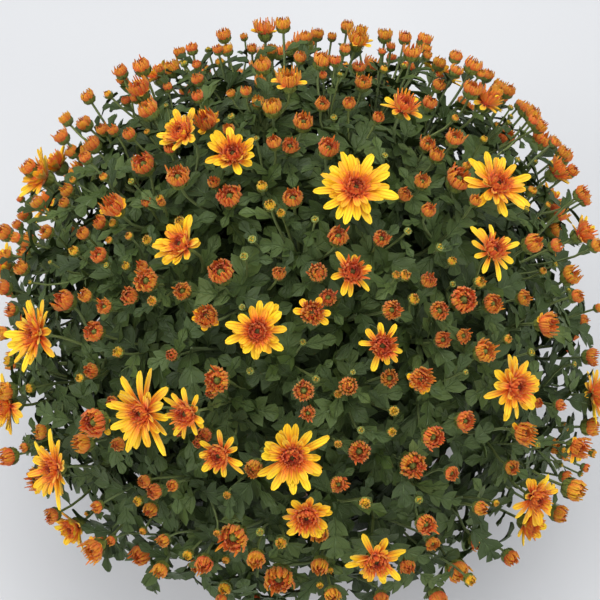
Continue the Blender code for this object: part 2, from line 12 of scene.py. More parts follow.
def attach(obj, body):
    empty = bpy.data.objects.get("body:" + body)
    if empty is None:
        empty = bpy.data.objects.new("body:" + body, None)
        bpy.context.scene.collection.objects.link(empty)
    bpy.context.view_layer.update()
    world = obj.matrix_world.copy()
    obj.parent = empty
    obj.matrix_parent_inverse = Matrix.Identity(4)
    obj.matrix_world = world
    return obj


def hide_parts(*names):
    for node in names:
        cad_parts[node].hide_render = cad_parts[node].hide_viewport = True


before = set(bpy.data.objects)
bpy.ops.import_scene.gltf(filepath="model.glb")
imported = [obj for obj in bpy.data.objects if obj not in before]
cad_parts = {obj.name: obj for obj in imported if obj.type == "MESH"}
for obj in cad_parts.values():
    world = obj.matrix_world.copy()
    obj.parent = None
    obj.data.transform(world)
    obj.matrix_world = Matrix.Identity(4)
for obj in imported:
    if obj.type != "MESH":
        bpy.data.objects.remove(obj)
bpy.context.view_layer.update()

SEED = 5
GOLDEN_TURN = math.pi * (3 - math.sqrt(5))
PLASTIC_RATIO = 1.32471795724

# The pot and the potting mix, in metres, as the CAD has them but with more sides
POT_HEIGHT = 0.170
POT_TOP_R = 0.108
POT_BASE_R = 0.080
POT_WALL = 0.0025
BAND_HEIGHT = 0.026
BAND_PROUD = 0.004
DRAIN_HOLES = 6
DRAIN_HOLE_R = 0.006
DRAIN_CIRCLE_R = 0.052
DRAIN_SIDES = 24
POT_SIDES = 96
FLOOR_MIDDLE_R = 0.004
SHARP_EDGE = math.radians(50)
SOIL_TOP_Z = 0.148
SOIL_MOUND = 0.006
SOIL_GAP = 0.0006
SOIL_CRUMB = 0.0016
SOIL_SIDES = 90
SOIL_RINGS = 26

# The cushion and its stems, in metres and in shares of the dome's size, as the CAD has them
DOME_Z = 0.225
DOME_R = 0.250
DOME_RISE = 0.245
DOME_DROP = 0.120
HEAD_LIFT = 0.3
STEMS = 14
SKIRT = 0.30
FOOT_CIRCLE_R = 0.070
CORE_SHARE = 0.62
CALYX_DEPTH = 0.008

# How far heads turn up to the light, and how far out they stand
BUD_LIFT = 0.5
FLOWER_LIFT = 0.12
LOW_FLOWER_LIFT = 0.45
SEEN_SHARES = (0.94, 1.0)
HIDDEN_SHARES = (0.93, 1.0)
FARTHEST_SHARE = 1.055
SLIDES_BESIDE = (-0.045, 0.060)

# Radii of main stems and shoots at root and tip, in metres
STEM_RADII = (0.0036, 0.0024)
SHOOT_RADII = (0.0019, 0.0012)

# Shoots, and the leaves on each of them, with limits of their lengths in metres
SHOOTS = 158
LOWEST_SHOOT = -0.55
SHOOT_LEAVES = 15
COARSE_LEVEL = 0.50
COARSE_LENGTHS = (0.050, 0.064)
LEAF_LENGTHS = (0.037, 0.053)
YOUNG_LEAF_LENGTHS = (0.022, 0.036)
YOUNG_LEAF_TURN = 2.4
STEM_END_SHARE = 0.60
SHOOT_ROOT_SHARE = 0.44

# The photograph's camera
CAMERA_ELEVATION = math.radians(62)
CAMERA_DISTANCE = 1.25
CAMERA_AIM = np.array([0, 0.0155, 0.248])
FOCAL_PX = 1478
PHOTO_PX = 600
SENSOR_MM = 36
SINE = math.sin(CAMERA_ELEVATION)
COSINE = math.cos(CAMERA_ELEVATION)
RIGHT = np.array([1.0, 0, 0])
UPWARD = np.array([0, SINE, COSINE])
FORWARD = np.array([0, COSINE, -SINE])
MM_PER_PX = 0.76

# Long petals of each open flower and its button's size, in the order of the CAD nodes bloom_01 on
OPEN_LOOKS = (
    (22, 1.0), (21, 1.05), (19, 0.95), (20, 1.05), (16, 0.95), (21, 0.9), (18, 0.95), (16, 0.95),
    (18, 1.0), (14, 1.0), (13, 1.05), (14, 0.9), (11, 0.95), (17, 1.0), (13, 1.0), (13, 1.0),
    (13, 1.05), (10, 0.95), (11, 0.95), (14, 1.0), (13, 1.0), (14, 0.95), (9, 1.05), (14, 1.0),
    (10, 1.05), (9, 1.05), (12, 0.95), (7, 1.05), (8, 1.05), (9, 1.05),
    (15, 1.0), (14, 1.0), (16, 0.95), (13, 1.05), (15, 1.0),
)
# How far some flowers lean to the photograph's right and up, and how many times as wide as their
# node they are, by the number of the node
LEANS = {
    1: (-0.05, -0.16, 1.0), 2: (-0.25, -0.12, 1.0), 3: (-0.32, -0.12, 1.1), 4: (0.0, 0.0, 1.0),
    5: (0.05, -0.05, 1.0), 6: (-0.10, 0.10, 1.05), 7: (-0.12, 0.06, 1.14), 9: (0.05, -0.15, 1.12),
    10: (-0.35, -0.10, 1.05), 11: (0.10, -0.30, 1.05), 12: (-0.40, 0.0, 1.0), 13: (-0.10, 0.0, 1.0),
    14: (-0.15, 0.05, 1.0), 18: (-0.25, -0.10, 1.0), 19: (-0.35, 0.0, 1.0), 22: (-0.10, -0.05, 1.1),
    27: (0.05, -0.05, 1.1),
}
# Open flowers whose petals still stand up, by the number of the node, and by how many degrees
CUPPED_FLOWERS = (9, 10, 11, 12, 21, 22, 24, 25, 26, 27)
CUPPED_RAISE = 20
# Long petals of each half-open flower, in the order of the CAD nodes half_bloom_01 on
HALF_LOOKS = (5, 4, 6, 6, 5, 4, 8)
# Half-open flowers that have no node of their own: column, row and span in pixels, and petals
YOUNG_FLOWERS = (
    (207, 124, 36, 6), (208, 318, 32, 4), (98, 424, 36, 5), (397, 195, 34, 4), (142, 92, 30, 3),
    (265, 33, 32, 8), (357, 43, 38, 6), (575, 446, 38, 4), (97, 547, 28, 6),
)
# Buds that are about to open: column, row and width in pixels of the photograph
OPENING_BUDS = (
    (119, 69, 15), (123, 80, 12), (142, 67, 19), (160, 70, 10), (172, 69, 19), (180, 53, 13),
    (192, 49, 13), (197, 65, 10), (198, 80, 13), (88, 97, 15), (62, 116, 15), (85, 124, 17),
    (103, 130, 13), (114, 131, 12), (62, 137, 16), (72, 152, 14), (93, 145, 18), (86, 158, 13),
    (126, 101, 10), (136, 98, 12), (168, 88, 10), (130, 135, 13), (170, 149, 12), (68, 191, 14),
    (24, 165, 18), (21, 199, 8), (198, 97, 12), (224, 36, 15), (244, 37, 9), (218, 50, 11),
    (227, 50, 13), (252, 49, 11), (271, 51, 15), (283, 25, 16), (293, 46, 11), (306, 38, 15),
    (317, 35, 14), (332, 37, 10), (300, 58, 13), (322, 61, 19), (335, 61, 12), (347, 27, 14),
    (361, 31, 12), (385, 36, 16), (391, 47, 10), (382, 52, 8), (391, 58, 11), (263, 66, 18),
    (269, 75, 16), (260, 82, 12), (205, 85, 20), (206, 98, 16), (231, 94, 9), (246, 92, 11),
    (349, 104, 13), (258, 103, 13), (272, 108, 19), (378, 118, 12), (229, 130, 12), (274, 143, 14),
    (214, 183, 12), (323, 76, 8), (345, 50, 12), (405, 38, 14), (427, 34, 17), (426, 49, 11),
    (427, 56, 10), (439, 64, 15), (463, 44, 14), (496, 64, 13), (480, 74, 10), (490, 72, 14),
    (506, 76, 14), (438, 86, 14), (484, 97, 14), (496, 92, 15), (508, 91, 16), (502, 99, 12),
    (429, 104, 15), (524, 101, 12), (537, 99, 17), (546, 102, 18), (558, 110, 16), (533, 121, 12),
    (436, 156, 14), (570, 131, 14), (561, 137, 10), (579, 142, 16), (572, 151, 19), (572, 171, 14),
    (404, 195, 14), (596, 190, 10), (38, 203, 14), (65, 203, 11), (25, 215, 15), (18, 225, 11),
    (17, 238, 12), (29, 240, 16), (5, 233, 18), (24, 254, 14), (8, 254, 9), (84, 234, 13),
    (22, 268, 16), (5, 288, 16), (101, 223, 14), (147, 203, 10), (162, 203, 8), (143, 267, 12),
    (130, 296, 17), (86, 296, 13), (65, 301, 22), (4, 333, 14), (172, 355, 12), (92, 371, 15),
    (8, 391, 20), (279, 274, 13), (318, 273, 18), (212, 392, 12), (348, 386, 18), (428, 211, 14),
    (475, 201, 12), (428, 281, 15), (576, 296, 14), (532, 244, 20), (555, 246, 14), (598, 308, 10),
    (596, 246, 14), (585, 201, 12), (43, 431, 16), (25, 447, 10), (8, 457, 20), (84, 443, 20),
    (113, 402, 12), (119, 444, 14), (180, 430, 12), (198, 443, 10), (53, 515, 16), (145, 481, 13),
    (155, 491, 16), (173, 485, 12), (151, 509, 15), (98, 506, 12), (164, 540, 13), (142, 554, 22),
    (161, 569, 16), (198, 565, 16), (100, 540, 14), (112, 540, 10), (95, 551, 18), (254, 468, 18),
    (204, 435, 16), (256, 558, 18), (204, 563, 18), (319, 532, 18), (320, 565, 18), (332, 594, 16),
    (222, 598, 12), (255, 598, 12), (381, 598, 16), (590, 427, 20), (598, 474, 10), (565, 477, 14),
    (597, 503, 24), (569, 521, 20), (480, 508, 15), (517, 527, 16), (510, 557, 18), (407, 565, 16),
    (457, 570, 24), (437, 597, 20), (559, 405, 12), (537, 403, 10),
)
# Buds whose petals have parted round a green eye, as the list above
CUPS = (
    (149, 111, 21), (144, 165, 22), (178, 178, 21), (359, 68, 13), (363, 84, 16), (322, 105, 13),
    (303, 123, 18), (290, 147, 15), (328, 149, 19), (230, 197, 22), (293, 199, 18), (412, 53, 18),
    (456, 71, 14), (478, 58, 18), (472, 90, 19), (454, 139, 17), (541, 140, 22), (427, 145, 15),
    (422, 182, 15), (458, 180, 24), (581, 194, 16), (47, 232, 14), (100, 256, 15), (147, 281, 21),
    (183, 291, 16), (105, 307, 14), (12, 310, 13), (95, 332, 19), (338, 237, 18), (381, 239, 15),
    (221, 273, 23), (328, 298, 15), (391, 310, 17), (218, 380, 22), (304, 391, 18), (389, 378, 16),
    (463, 300, 24), (439, 311, 17), (492, 304, 18), (523, 298, 14), (442, 340, 15), (463, 336, 13),
    (484, 352, 20), (590, 357, 18), (570, 276, 20), (95, 422, 26), (308, 413, 13), (359, 451, 20),
    (338, 484, 15), (234, 537, 27), (279, 578, 28), (464, 421, 18), (432, 437, 20), (412, 465, 24),
    (451, 473, 13), (511, 467, 14), (425, 524, 19), (432, 543, 13), (477, 541, 17),
)
# Small buds that show a yellow tip, as the list above
SMALL_BUDS = (
    (108, 94, 10), (147, 132, 7), (104, 177, 10), (73, 180, 8), (160, 199, 10), (220, 62, 12),
    (384, 69, 9), (262, 186, 12), (461, 55, 12), (455, 118, 9), (484, 139, 9), (466, 166, 10),
    (532, 191, 12), (497, 125, 7), (74, 251, 12), (109, 240, 8), (113, 223, 10), (129, 236, 9),
    (147, 240, 11), (180, 222, 13), (126, 266, 9), (152, 301, 11), (118, 352, 12), (80, 378, 10),
    (30, 388, 11), (8, 361, 12), (270, 205, 13), (281, 213, 10), (338, 394, 9), (396, 275, 9),
    (452, 261, 10), (405, 275, 12), (414, 299, 12), (480, 282, 13), (508, 339, 10), (543, 271, 9),
    (548, 205, 7), (138, 501, 11), (87, 514, 7), (143, 531, 9), (188, 555, 12), (394, 411, 11),
    (392, 432, 10), (338, 444, 9), (365, 503, 13), (227, 495, 9), (217, 533, 8), (281, 543, 14),
    (226, 560, 9), (330, 570, 8), (320, 585, 8), (225, 588, 16), (597, 455, 10), (496, 503, 8),
    (470, 580, 14), (563, 450, 7),
)
# Tiny buds that are still mostly green, as the list above
TINY_BUDS = (
    (184, 63, 9), (166, 105, 6), (131, 181, 8), (33, 177, 8), (208, 49, 8), (207, 68, 8), (281, 70, 7),
    (340, 74, 7), (334, 117, 8), (231, 116, 8), (256, 138, 7), (385, 155, 7), (404, 65, 8),
    (511, 107, 7), (511, 116, 7), (509, 122, 7), (535, 161, 8), (518, 159, 7), (30, 282, 6),
    (23, 368, 5), (50, 262, 5), (106, 265, 7), (315, 219, 8), (252, 239, 9), (244, 256, 9),
    (242, 307, 7), (250, 371, 8), (303, 342, 7), (316, 379, 8), (353, 372, 6), (408, 231, 8),
    (440, 247, 9), (453, 284, 7), (532, 352, 9), (466, 372, 6), (569, 290, 6), (556, 264, 7),
    (527, 209, 7), (575, 364, 7), (361, 430, 8), (260, 532, 9), (270, 475, 6), (538, 445, 8),
    (562, 465, 6), (419, 500, 9), (583, 475, 8),
)

# Buds on the sides that the photograph hides: how many places are tried, how low and how far round
# they start, and of what kinds and widths they are
HIDDEN_PLACES = 380
LOWEST_BUD = -0.34
HIDDEN_FACING = -0.05
HIDDEN_KINDS = (
    "opening", "opening", "cup", "small", "opening", "tiny", "opening", "cup", "small", "opening",
)
HIDDEN_WIDTHS = {"opening": 0.0125, "cup": 0.0145, "small": 0.0088, "tiny": 0.0058}

FLOWER_KINDS = ("open", "half", "young")

# The last field is the number of long petals, and for an open flower that with its button's size
Head = collections.namedtuple("Head", "place axis width kind petals")


def unit(vector):
    return vector / np.linalg.norm(vector)


def smooth(value):
    value = np.clip(value, 0, 1)
    return value * value * (3 - 2 * value)


def any_turn(draw):
    """A random turn all the way round."""
    return draw.uniform(0, 6.3)


def jog(draw, most):
    """A random step along each axis, of at most so much either way."""
    return [draw.uniform(-most, most) for _ in range(3)]


def around(radius, turn, height):
    """The place at a radius, a turn and a height."""
    return np.array([radius * math.cos(turn), radius * math.sin(turn), height])


# The dome that the heads stand on


def on_dome(way, share=1.0):
    rise = DOME_RISE if way[2] > 0 else DOME_DROP
    return np.array([DOME_R * way[0], DOME_R * way[1], rise * way[2]]) * share + [0, 0, DOME_Z]


def outward(way):
    rise = DOME_RISE if way[2] > 0 else DOME_DROP
    return unit(np.array([way[0] / DOME_R, way[1] / DOME_R, max(way[2], -0.1) / rise]))


def head_axis(way, lift=HEAD_LIFT):
    return unit(outward(way) + [0, 0, lift])


def way_at(place):
    """The direction in which a place lies once the dome is shrunk to a unit ball."""
    rise = DOME_RISE if place[2] > DOME_Z else DOME_DROP
    return unit((np.asarray(place) - [0, 0, DOME_Z]) / [DOME_R, DOME_R, rise])


def ray_through(column, row):
    """The direction in which the camera sees a pixel of the photograph."""
    across = (column - PHOTO_PX / 2) / FOCAL_PX
    above = (PHOTO_PX / 2 - row) / FOCAL_PX
    return FORWARD + RIGHT * across + UPWARD * above


def way_along(ray, share):
    """Where a camera ray meets the dome at a share of its size, as a direction, and whether it does."""
    start = CAMERA_AIM - FORWARD * CAMERA_DISTANCE - [0, 0, DOME_Z]
    for rise in (DOME_RISE, DOME_DROP):
        size = np.array([DOME_R, DOME_R, rise]) * share
        origin = start / size
        step = ray / size
        along = origin @ step
        reach = along**2 - step @ step * (origin @ origin - 1)
        hit = origin + step * (-along - math.sqrt(max(reach, 0))) / (step @ step)
        if hit[2] >= 0:
            break
    return unit(hit), reach > 0


def spiral_ways(count, lowest):
    """Directions in a golden spiral from the top of the dome down to a lowest height."""
    for number in range(count):
        height = 1 - (number + 0.5) * (1 - lowest) / count
        level = math.sqrt(1 - height * height)
        turn = number * GOLDEN_TURN
        yield around(level, turn, height)


def steady_ways(count, lowest):
    """Directions spread evenly over the dome by a steady two-way sequence."""
    for number in range(count):
        turn = 2 * math.pi * ((0.5 + number / PLASTIC_RATIO) % 1)
        height = 1 - (1 - lowest) * ((0.5 + number / PLASTIC_RATIO**2) % 1)
        level = math.sqrt(1 - height * height)
        yield around(level, turn, height)


# Lines and frames

ARC_PULL = 0.38


def axes(axis, twist=0.0):
    """Three unit columns whose third is the axis."""
    helper = np.array([0, 0, 1.0]) if abs(axis[2]) < 0.9 else np.array([0, 1.0, 0])
    first = unit(np.cross(helper, axis))
    second = np.cross(axis, first)
    turned = first * math.cos(twist) + second * math.sin(twist)
    return np.stack([turned, np.cross(axis, turned), axis], 1)


def arc(start, start_way, end, end_way, count):
    """A smooth curve from one place and direction to another."""
    pull = np.linalg.norm(end - start) * ARC_PULL
    one = start + start_way * pull
    two = end - end_way * pull
    t = np.linspace(0, 1, count)[:, None]
    return start * (1 - t) ** 3 + one * 3 * t * (1 - t) ** 2 + two * 3 * t**2 * (1 - t) + end * t**3


def rib(start, turn, length, slopes, twist=0.0, sway=0.0):
    """A blade's middle line: rows of place, forward, side and normal, modelled round +Z."""
    rows = len(slopes)
    t = np.linspace(0, 1, rows)
    turns = turn + sway * t
    level = np.cos(slopes)
    forwards = np.stack([level * np.cos(turns), level * np.sin(turns), np.sin(slopes)], 1)
    steps = (forwards[1:] + forwards[:-1]) * (length / (rows - 1) / 2)
    places = np.vstack([[start], start + np.cumsum(steps, 0)])
    flat = np.stack([-np.sin(turns), np.cos(turns), np.zeros(rows)], 1)
    normals = np.cross(forwards, flat)
    roll = (twist * t)[:, None]
    sides = flat * np.cos(roll) + normals * np.sin(roll)
    return places, forwards, sides, normals * np.cos(roll) - flat * np.sin(roll)


# Forms


def quads_of(grid):
    """The quads between the points of a grid."""
    return np.stack([grid[:-1, :-1], grid[1:, :-1], grid[1:, 1:], grid[:-1, 1:]], -1).reshape(-1, 4)


@functools.lru_cache(maxsize=None)
def blade_pattern(rows, columns):
    """Quads of a thin closed blade whose two sides share a rim, and each point's place on it."""
    top = np.arange(rows * columns).reshape(rows, columns)
    low = top.copy()
    inner = (slice(1, -1), slice(1, -1))
    low[inner] = rows * columns + np.arange((rows - 2) * (columns - 2)).reshape(rows - 2, columns - 2)
    faces = np.vstack([quads_of(top), quads_of(low)[:, ::-1]]).tolist()
    along, across = np.meshgrid(np.linspace(0, 1, rows), np.linspace(-1, 1, columns), indexing="ij")
    rim = np.ones((rows, columns))
    rim[inner] = 0
    under = np.zeros((rows - 2) * (columns - 2))
    along = np.concatenate([along.ravel(), along[inner].ravel()])
    across = np.concatenate([across.ravel(), across[inner].ravel()])
    return faces, along, across, np.concatenate([rim.ravel(), under])


@functools.lru_cache(maxsize=None)
def tube_pattern(rows, sides):
    """Faces of a tube with closed ends, and each point's place on it."""
    grid = np.arange(rows * sides).reshape(rows, sides)
    ahead = np.roll(grid, -1, 1)
    quads = np.stack([grid[:-1], ahead[:-1], ahead[1:], grid[1:]], -1).reshape(-1, 4)
    along, across = np.meshgrid(np.linspace(0, 1, rows), np.linspace(-1, 1, sides), indexing="ij")
    rim = np.zeros((rows, sides))
    rim[[0, -1]] = 1
    faces = quads.tolist() + [grid[0, ::-1].tolist(), grid[-1].tolist()]
    return faces, along.ravel(), across.ravel(), rim.ravel()


class Sheaf:
    """Gathers many small closed forms of one finish into one mesh."""

    def __init__(self):
        self.points = []
        self.faces = []
        self.marks = []
        self.count = 0

    def add(self, points, pattern, tint, warm):
        faces, along, across, rim = pattern
        self.faces += [[corner + self.count for corner in face] for face in faces]
        same = np.ones(len(along))
        self.points.append(points)
        self.marks.append(np.stack([along, across, rim, same * tint, same * warm]))
        self.count += len(points)

    def blade(self, line, half, cup, thickness, tint, warm, columns=3, shift=None, stand=None):
        """A closed blade along a rib; stand places it, as a pair of axes and origin."""
        places, forwards, sides, normals = line
        rows = len(places)
        across = np.linspace(-1, 1, columns)[None, :, None]
        grid = places[:, None] + sides[:, None] * (np.asarray(half)[:, None, None] * across)
        grid = grid + normals[:, None] * (np.asarray(cup)[:, None, None] * across**2)
        if shift is not None:
            grid = grid + forwards[:, None] * (np.asarray(shift)[:, None, None] * np.abs(across))
        under = grid[1:-1, 1:-1] - normals[1:-1, None] * thickness
        points = np.concatenate([grid.reshape(-1, 3), under.reshape(-1, 3)])
        pattern = blade_pattern(rows, columns)
        if callable(warm):
            warm = warm(pattern[1])
        self.add(stood(points, stand), pattern, tint, warm)

    def tube(self, route, radii, sides, tint, warm, stand=None):
        """A closed tube along a route."""
        route = np.asarray(route, float)
        radii = np.broadcast_to(radii, len(route))
        forwards = np.gradient(route, axis=0)
        forwards /= np.linalg.norm(forwards, axis=1)[:, None]
        turn = np.linspace(0, 2 * math.pi, sides, endpoint=False)[:, None]
        across = axes(forwards[0])[:, 0]
        rings = []
        for place, forward, radius in zip(route, forwards, radii):
            across = unit(across - forward * (forward @ across))
            over = np.cross(forward, across)
            rings.append(place + radius * (np.cos(turn) * across + np.sin(turn) * over))
        points = stood(np.concatenate(rings), stand)
        self.add(points, tube_pattern(len(route), sides), tint, warm)

    def piece(self, name, finish, slot_name, node):
        """Makes the mesh, rides it on the frame and puts it in place of a CAD node."""
        mesh = bpy.data.meshes.new(name)
        mesh.from_pydata(np.concatenate(self.points).tolist(), [], self.faces)
        marks = np.concatenate(self.marks, 1)
        for label, values in zip(("along", "across", "rim", "tint", "warm"), marks):
            mesh.attributes.new(label, "FLOAT", "POINT").data.foreach_set("value", values)
        ends = np.zeros(len(mesh.edges) * 2, int)
        mesh.edges.foreach_get("vertices", ends)
        sharp = (marks[2][ends.reshape(-1, 2)] > 0.5).all(1)
        mesh.attributes.new("sharp_edge", "BOOLEAN", "EDGE").data.foreach_set("value", sharp)
        stand_in(name, mesh, finish, node)


def stand_in(name, mesh, finish, node):
    """Rides a smooth mesh on the frame in place of a CAD node."""
    mesh.polygons.foreach_set("use_smooth", np.ones(len(mesh.polygons), bool))
    mesh.materials.append(finish)
    made = bpy.data.objects.new(name, mesh)
    bpy.context.scene.collection.objects.link(made)
    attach(made, "root")
    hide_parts(node)


def stood(points, stand):
    """Points modelled round +Z, turned and moved to where they stand."""
    if stand is None:
        return points
    turn, origin = stand
    return points @ turn.T + origin


# Leaves

# Half width of a leaf from root to tip, and how far its edge runs ahead of its rib, as shares of length
LEAF_HALF = (0.014, 0.014, 0.04, 0.16, 0.23, 0.27, 0.08, 0.18, 0.29, 0.34, 0.09, 0.16, 0.20, 0.12, 0.02)
LEAF_SHIFT = (0, 0, 0, 0.0, 0.02, 0.10, 0.01, 0.0, 0.02, 0.12, 0.02, 0.01, 0.07, 0.05, 0)
SMALL_HALF = (0.02, 0.04, 0.14, 0.22, 0.08, 0.18, 0.10, 0.02)
SMALL_SHIFT = (0, 0, 0.01, 0.11, 0.01, 0.08, 0.07, 0)
LEAF_THICKNESS = 0.0005
LEAF_ARCH = 1.3


def leaf(sheaf, turn, length, rise, tint, fresh, stand, draw):
    """A mum's leaf: two pairs of lobes and a lobed tip, folded up along its rib and arching over."""
    t = np.linspace(0, 1, len(LEAF_HALF))
    slopes = rise - (rise + draw.uniform(0.1, 0.55)) * t**LEAF_ARCH
    line = rib(np.zeros(3), turn, length, slopes, draw.uniform(-0.5, 0.5), draw.uniform(-0.35, 0.35))
    wave = any_turn(draw)
    fold = length * (0.05 + 0.035 * np.sin(t * 9 + wave)) * np.minimum(1, t * 3)
    half = np.array(LEAF_HALF) * length * draw.uniform(0.74, 1.00)
    sheaf.blade(line, half, fold, LEAF_THICKNESS, tint, fresh, 5, np.array(LEAF_SHIFT) * length, stand)


def small_leaf(sheaf, turn, length, rise, tint, fresh, stand, draw):
    """A young leaf near the heads, or a coarse one deep inside."""
    t = np.linspace(0, 1, len(SMALL_HALF))
    slopes = rise - (rise + draw.uniform(-0.1, 0.5)) * t**LEAF_ARCH
    line = rib(np.zeros(3), turn, length, slopes, draw.uniform(-0.4, 0.4), draw.uniform(-0.3, 0.3))
    fold = length * 0.07 * np.minimum(1, t * 2)
    half = np.array(SMALL_HALF) * length
    sheaf.blade(line, half, fold, LEAF_THICKNESS, tint, fresh, 3, np.array(SMALL_SHIFT) * length, stand)


# Flowers

# Half width of a long petal and of a short one from root to tip, in shares of its widest
PETAL_HALF = np.array([0.40, 0.62, 0.82, 0.95, 1.0, 0.94, 0.52])
STRIP_HALF = np.array([0.72, 1.0, 0.40])
PETAL_THICKNESS = 0.0005
TIP_PULL = 0.035

# Where the warm mark of a long petal starts, how much of it is lost, and how soon along the petal
ROOT_WARMTH = 0.44
LOST_WARMTH = 0.40
LOSS_SPEED = 1.15

# An open flower's rings of long petals: height of the roots in metres, then limits of the length as a
# share of the flower's reach, the width in metres, the slope and bend in degrees, and the redness
Ring = collections.namedtuple("Ring", "lift lengths widths slopes bends reds")
FULL_RING = Ring(0.0, (0.66, 1.12), (0.0050, 0.0068), (4, 34), (-6, 30), (-0.05, 0.10))
SPARSE_RING = FULL_RING._replace(widths=(0.0038, 0.0052))
GOLDEN_RING = Ring(0.0018, (0.52, 0.80), (0.0048,), (26, 46), (-8, 22), (0.10, 0.20))
RING_R = 0.0046
FULL_FLOWER = 12
GOLDEN_FEWER = 5

# Whorls of short petals: how many, their roots' share of the whorls' radius, their length in metres on
# a button of size 1 or as a share of a cup's width, their slope and bend in degrees, and the warm mark
# at their root and tip
Whorl = collections.namedtuple("Whorl", "count root tall slope bend low high")
BUTTON_WHORLS = (
    Whorl(24, 1.00, 0.0104, 38, 34, 0.56, 0.38),
    Whorl(24, 0.92, 0.0088, 48, 56, 0.62, 0.44),
    Whorl(22, 0.80, 0.0068, 56, 72, 0.70, 0.50),
    Whorl(16, 0.66, 0.0050, 60, 80, 0.86, 0.62),
)
YOUNG_WHORLS = (
    Whorl(25, 1.00, 0.80, 50, 56, 0.54, 0.34),
    Whorl(21, 0.76, 0.66, 58, 70, 0.58, 0.38),
    Whorl(16, 0.54, 0.50, 70, 68, 0.72, 0.46),
    Whorl(10, 0.34, 0.34, 78, 64, 0.84, 0.58),
)
BUD_WHORLS = {
    "opening": (
        Whorl(22, 1.00, 0.62, 60, 62, 0.54, 0.34),
        Whorl(16, 0.72, 0.58, 70, 62, 0.58, 0.38),
        Whorl(9, 0.40, 0.48, 80, 50, 0.80, 0.52),
    ),
    "cup": (
        Whorl(24, 1.00, 0.66, 46, 82, 0.56, 0.36),
        Whorl(20, 0.80, 0.52, 56, 86, 0.60, 0.42),
        Whorl(13, 0.62, 0.36, 56, 84, 0.74, 0.50),
    ),
    "small": (Whorl(10, 0.90, 0.52, 74, 50, 0.36, 0.22), Whorl(6, 0.50, 0.42, 82, 42, 0.30, 0.14)),
    "narrow": (Whorl(15, 1.00, 0.60, 70, 36, 0.60, 0.36), Whorl(9, 0.62, 0.56, 79, 40, 0.68, 0.42)),
    "tiny": (Whorl(4, 0.60, 0.42, 72, 44, 0.20, 0.12),),
}
NARROW_BUD = 0.0095
BUTTON_R = 0.0048
BUTTON_LIFT = 0.002
BUTTON_RISE = 0.002
BUTTON_STRIP = 0.0021
CUP_R_SHARE = 0.40
CUP_BASE_SHARE = 0.14
LAZY_CHANCE = 0.08
LAZY_CURL = 0.55

# A half-open flower's cup and long petals
YOUNG_R = 0.0052
YOUNG_CUP = 0.0145
YOUNG_PETAL = 0.0050

# The green cup's width under an open flower and under a smaller one, and its bracts
OPEN_CALYX = 0.0135
YOUNG_CALYX = 0.0120
BRACTS = 6
# The eye of a flower as radius, foot and top in metres, and of a bud as radius and top in shares of width
FLOWER_EYE = (0.0024, 0.0040, 0.0058)
BUD_EYES = {"cup": (0.17, 0.22), "tiny": (0.30, 0.15)}


def loosely(draw, most):
    """A petal's random twist, and its sway of at most so much."""
    return draw.uniform(-0.5, 0.5), draw.uniform(-most, most)


def glowing(redness):
    """The warm mark of a long petal, which is orange at its root and yellow over its outer half."""
    return lambda along: ROOT_WARMTH - LOST_WARMTH * smooth(along * LOSS_SPEED) + redness


def long_petal(sheaf, radius, lift, turn, length, width, slope, bend, redness, stand, draw):
    """A ray petal: a strap with a blunt tip, whose edges turn up like a spoon."""
    t = np.linspace(0, 1, len(PETAL_HALF))
    line = rib(around(radius, turn, lift), turn, length, slope - bend * t, *loosely(draw, 0.28))
    cup = width * (0.34 - 0.20 * t) * draw.uniform(0.4, 1.3)
    shift = np.where(t > 0.9, -TIP_PULL * length, 0.0)
    half = PETAL_HALF * width / 2
    sheaf.blade(line, half, cup, PETAL_THICKNESS, draw.random(), glowing(redness), 5, shift, stand)


def strip(sheaf, radius, lift, turn, length, width, slope, bend, warm, stand, draw):
    """A short petal of a button or a bud: a strip that curls in towards the middle."""
    t = np.linspace(0, 1, len(STRIP_HALF))
    line = rib(around(radius, turn, lift), turn, length, slope + bend * t, *loosely(draw, 0.24))
    cup = np.full(len(t), width * 0.40)
    sheaf.blade(line, STRIP_HALF * width / 2, cup, PETAL_THICKNESS, draw.random(), warm, 3, None, stand)


def fading(root, tip):
    """The warm mark of a short petal, which runs evenly from its root to its tip."""
    return lambda along: root + (tip - root) * along


def ring_of_petals(sheaf, ring, numbers, first, reach, raised, stand, draw):
    """One ring of an open flower's long petals, uneven in length, width and slope."""
    count = len(numbers)
    for number in numbers:
        turn = first + 2 * math.pi * number / count + draw.uniform(-0.9, 0.9) / math.sqrt(count)
        length = (reach - RING_R) * draw.uniform(*ring.lengths)
        width = draw.uniform(*ring.widths) if len(ring.widths) > 1 else ring.widths[0]
        slope = math.radians(raised + draw.uniform(*ring.slopes))
        bend = math.radians(draw.uniform(*ring.bends))
        redness = draw.uniform(*ring.reds)
        long_petal(sheaf, RING_R, ring.lift, turn, length, width, slope, bend, redness, stand, draw)


def bloom(sheaf, span, petals, button, raised, stand, draw):
    """An open flower: long petals, golden ones above them if it is full, and a button of short ones."""
    first = any_turn(draw)
    if petals < FULL_FLOWER:
        ring_of_petals(sheaf, SPARSE_RING, range(petals), first, span / 2, raised, stand, draw)
    else:
        golden = range(petals, 2 * petals - GOLDEN_FEWER)
        ring_of_petals(sheaf, FULL_RING, range(petals), first, span / 2, raised, stand, draw)
        ring_of_petals(sheaf, GOLDEN_RING, golden, first, span / 2, raised, stand, draw)
    button_of_strips(sheaf, button, stand, draw)


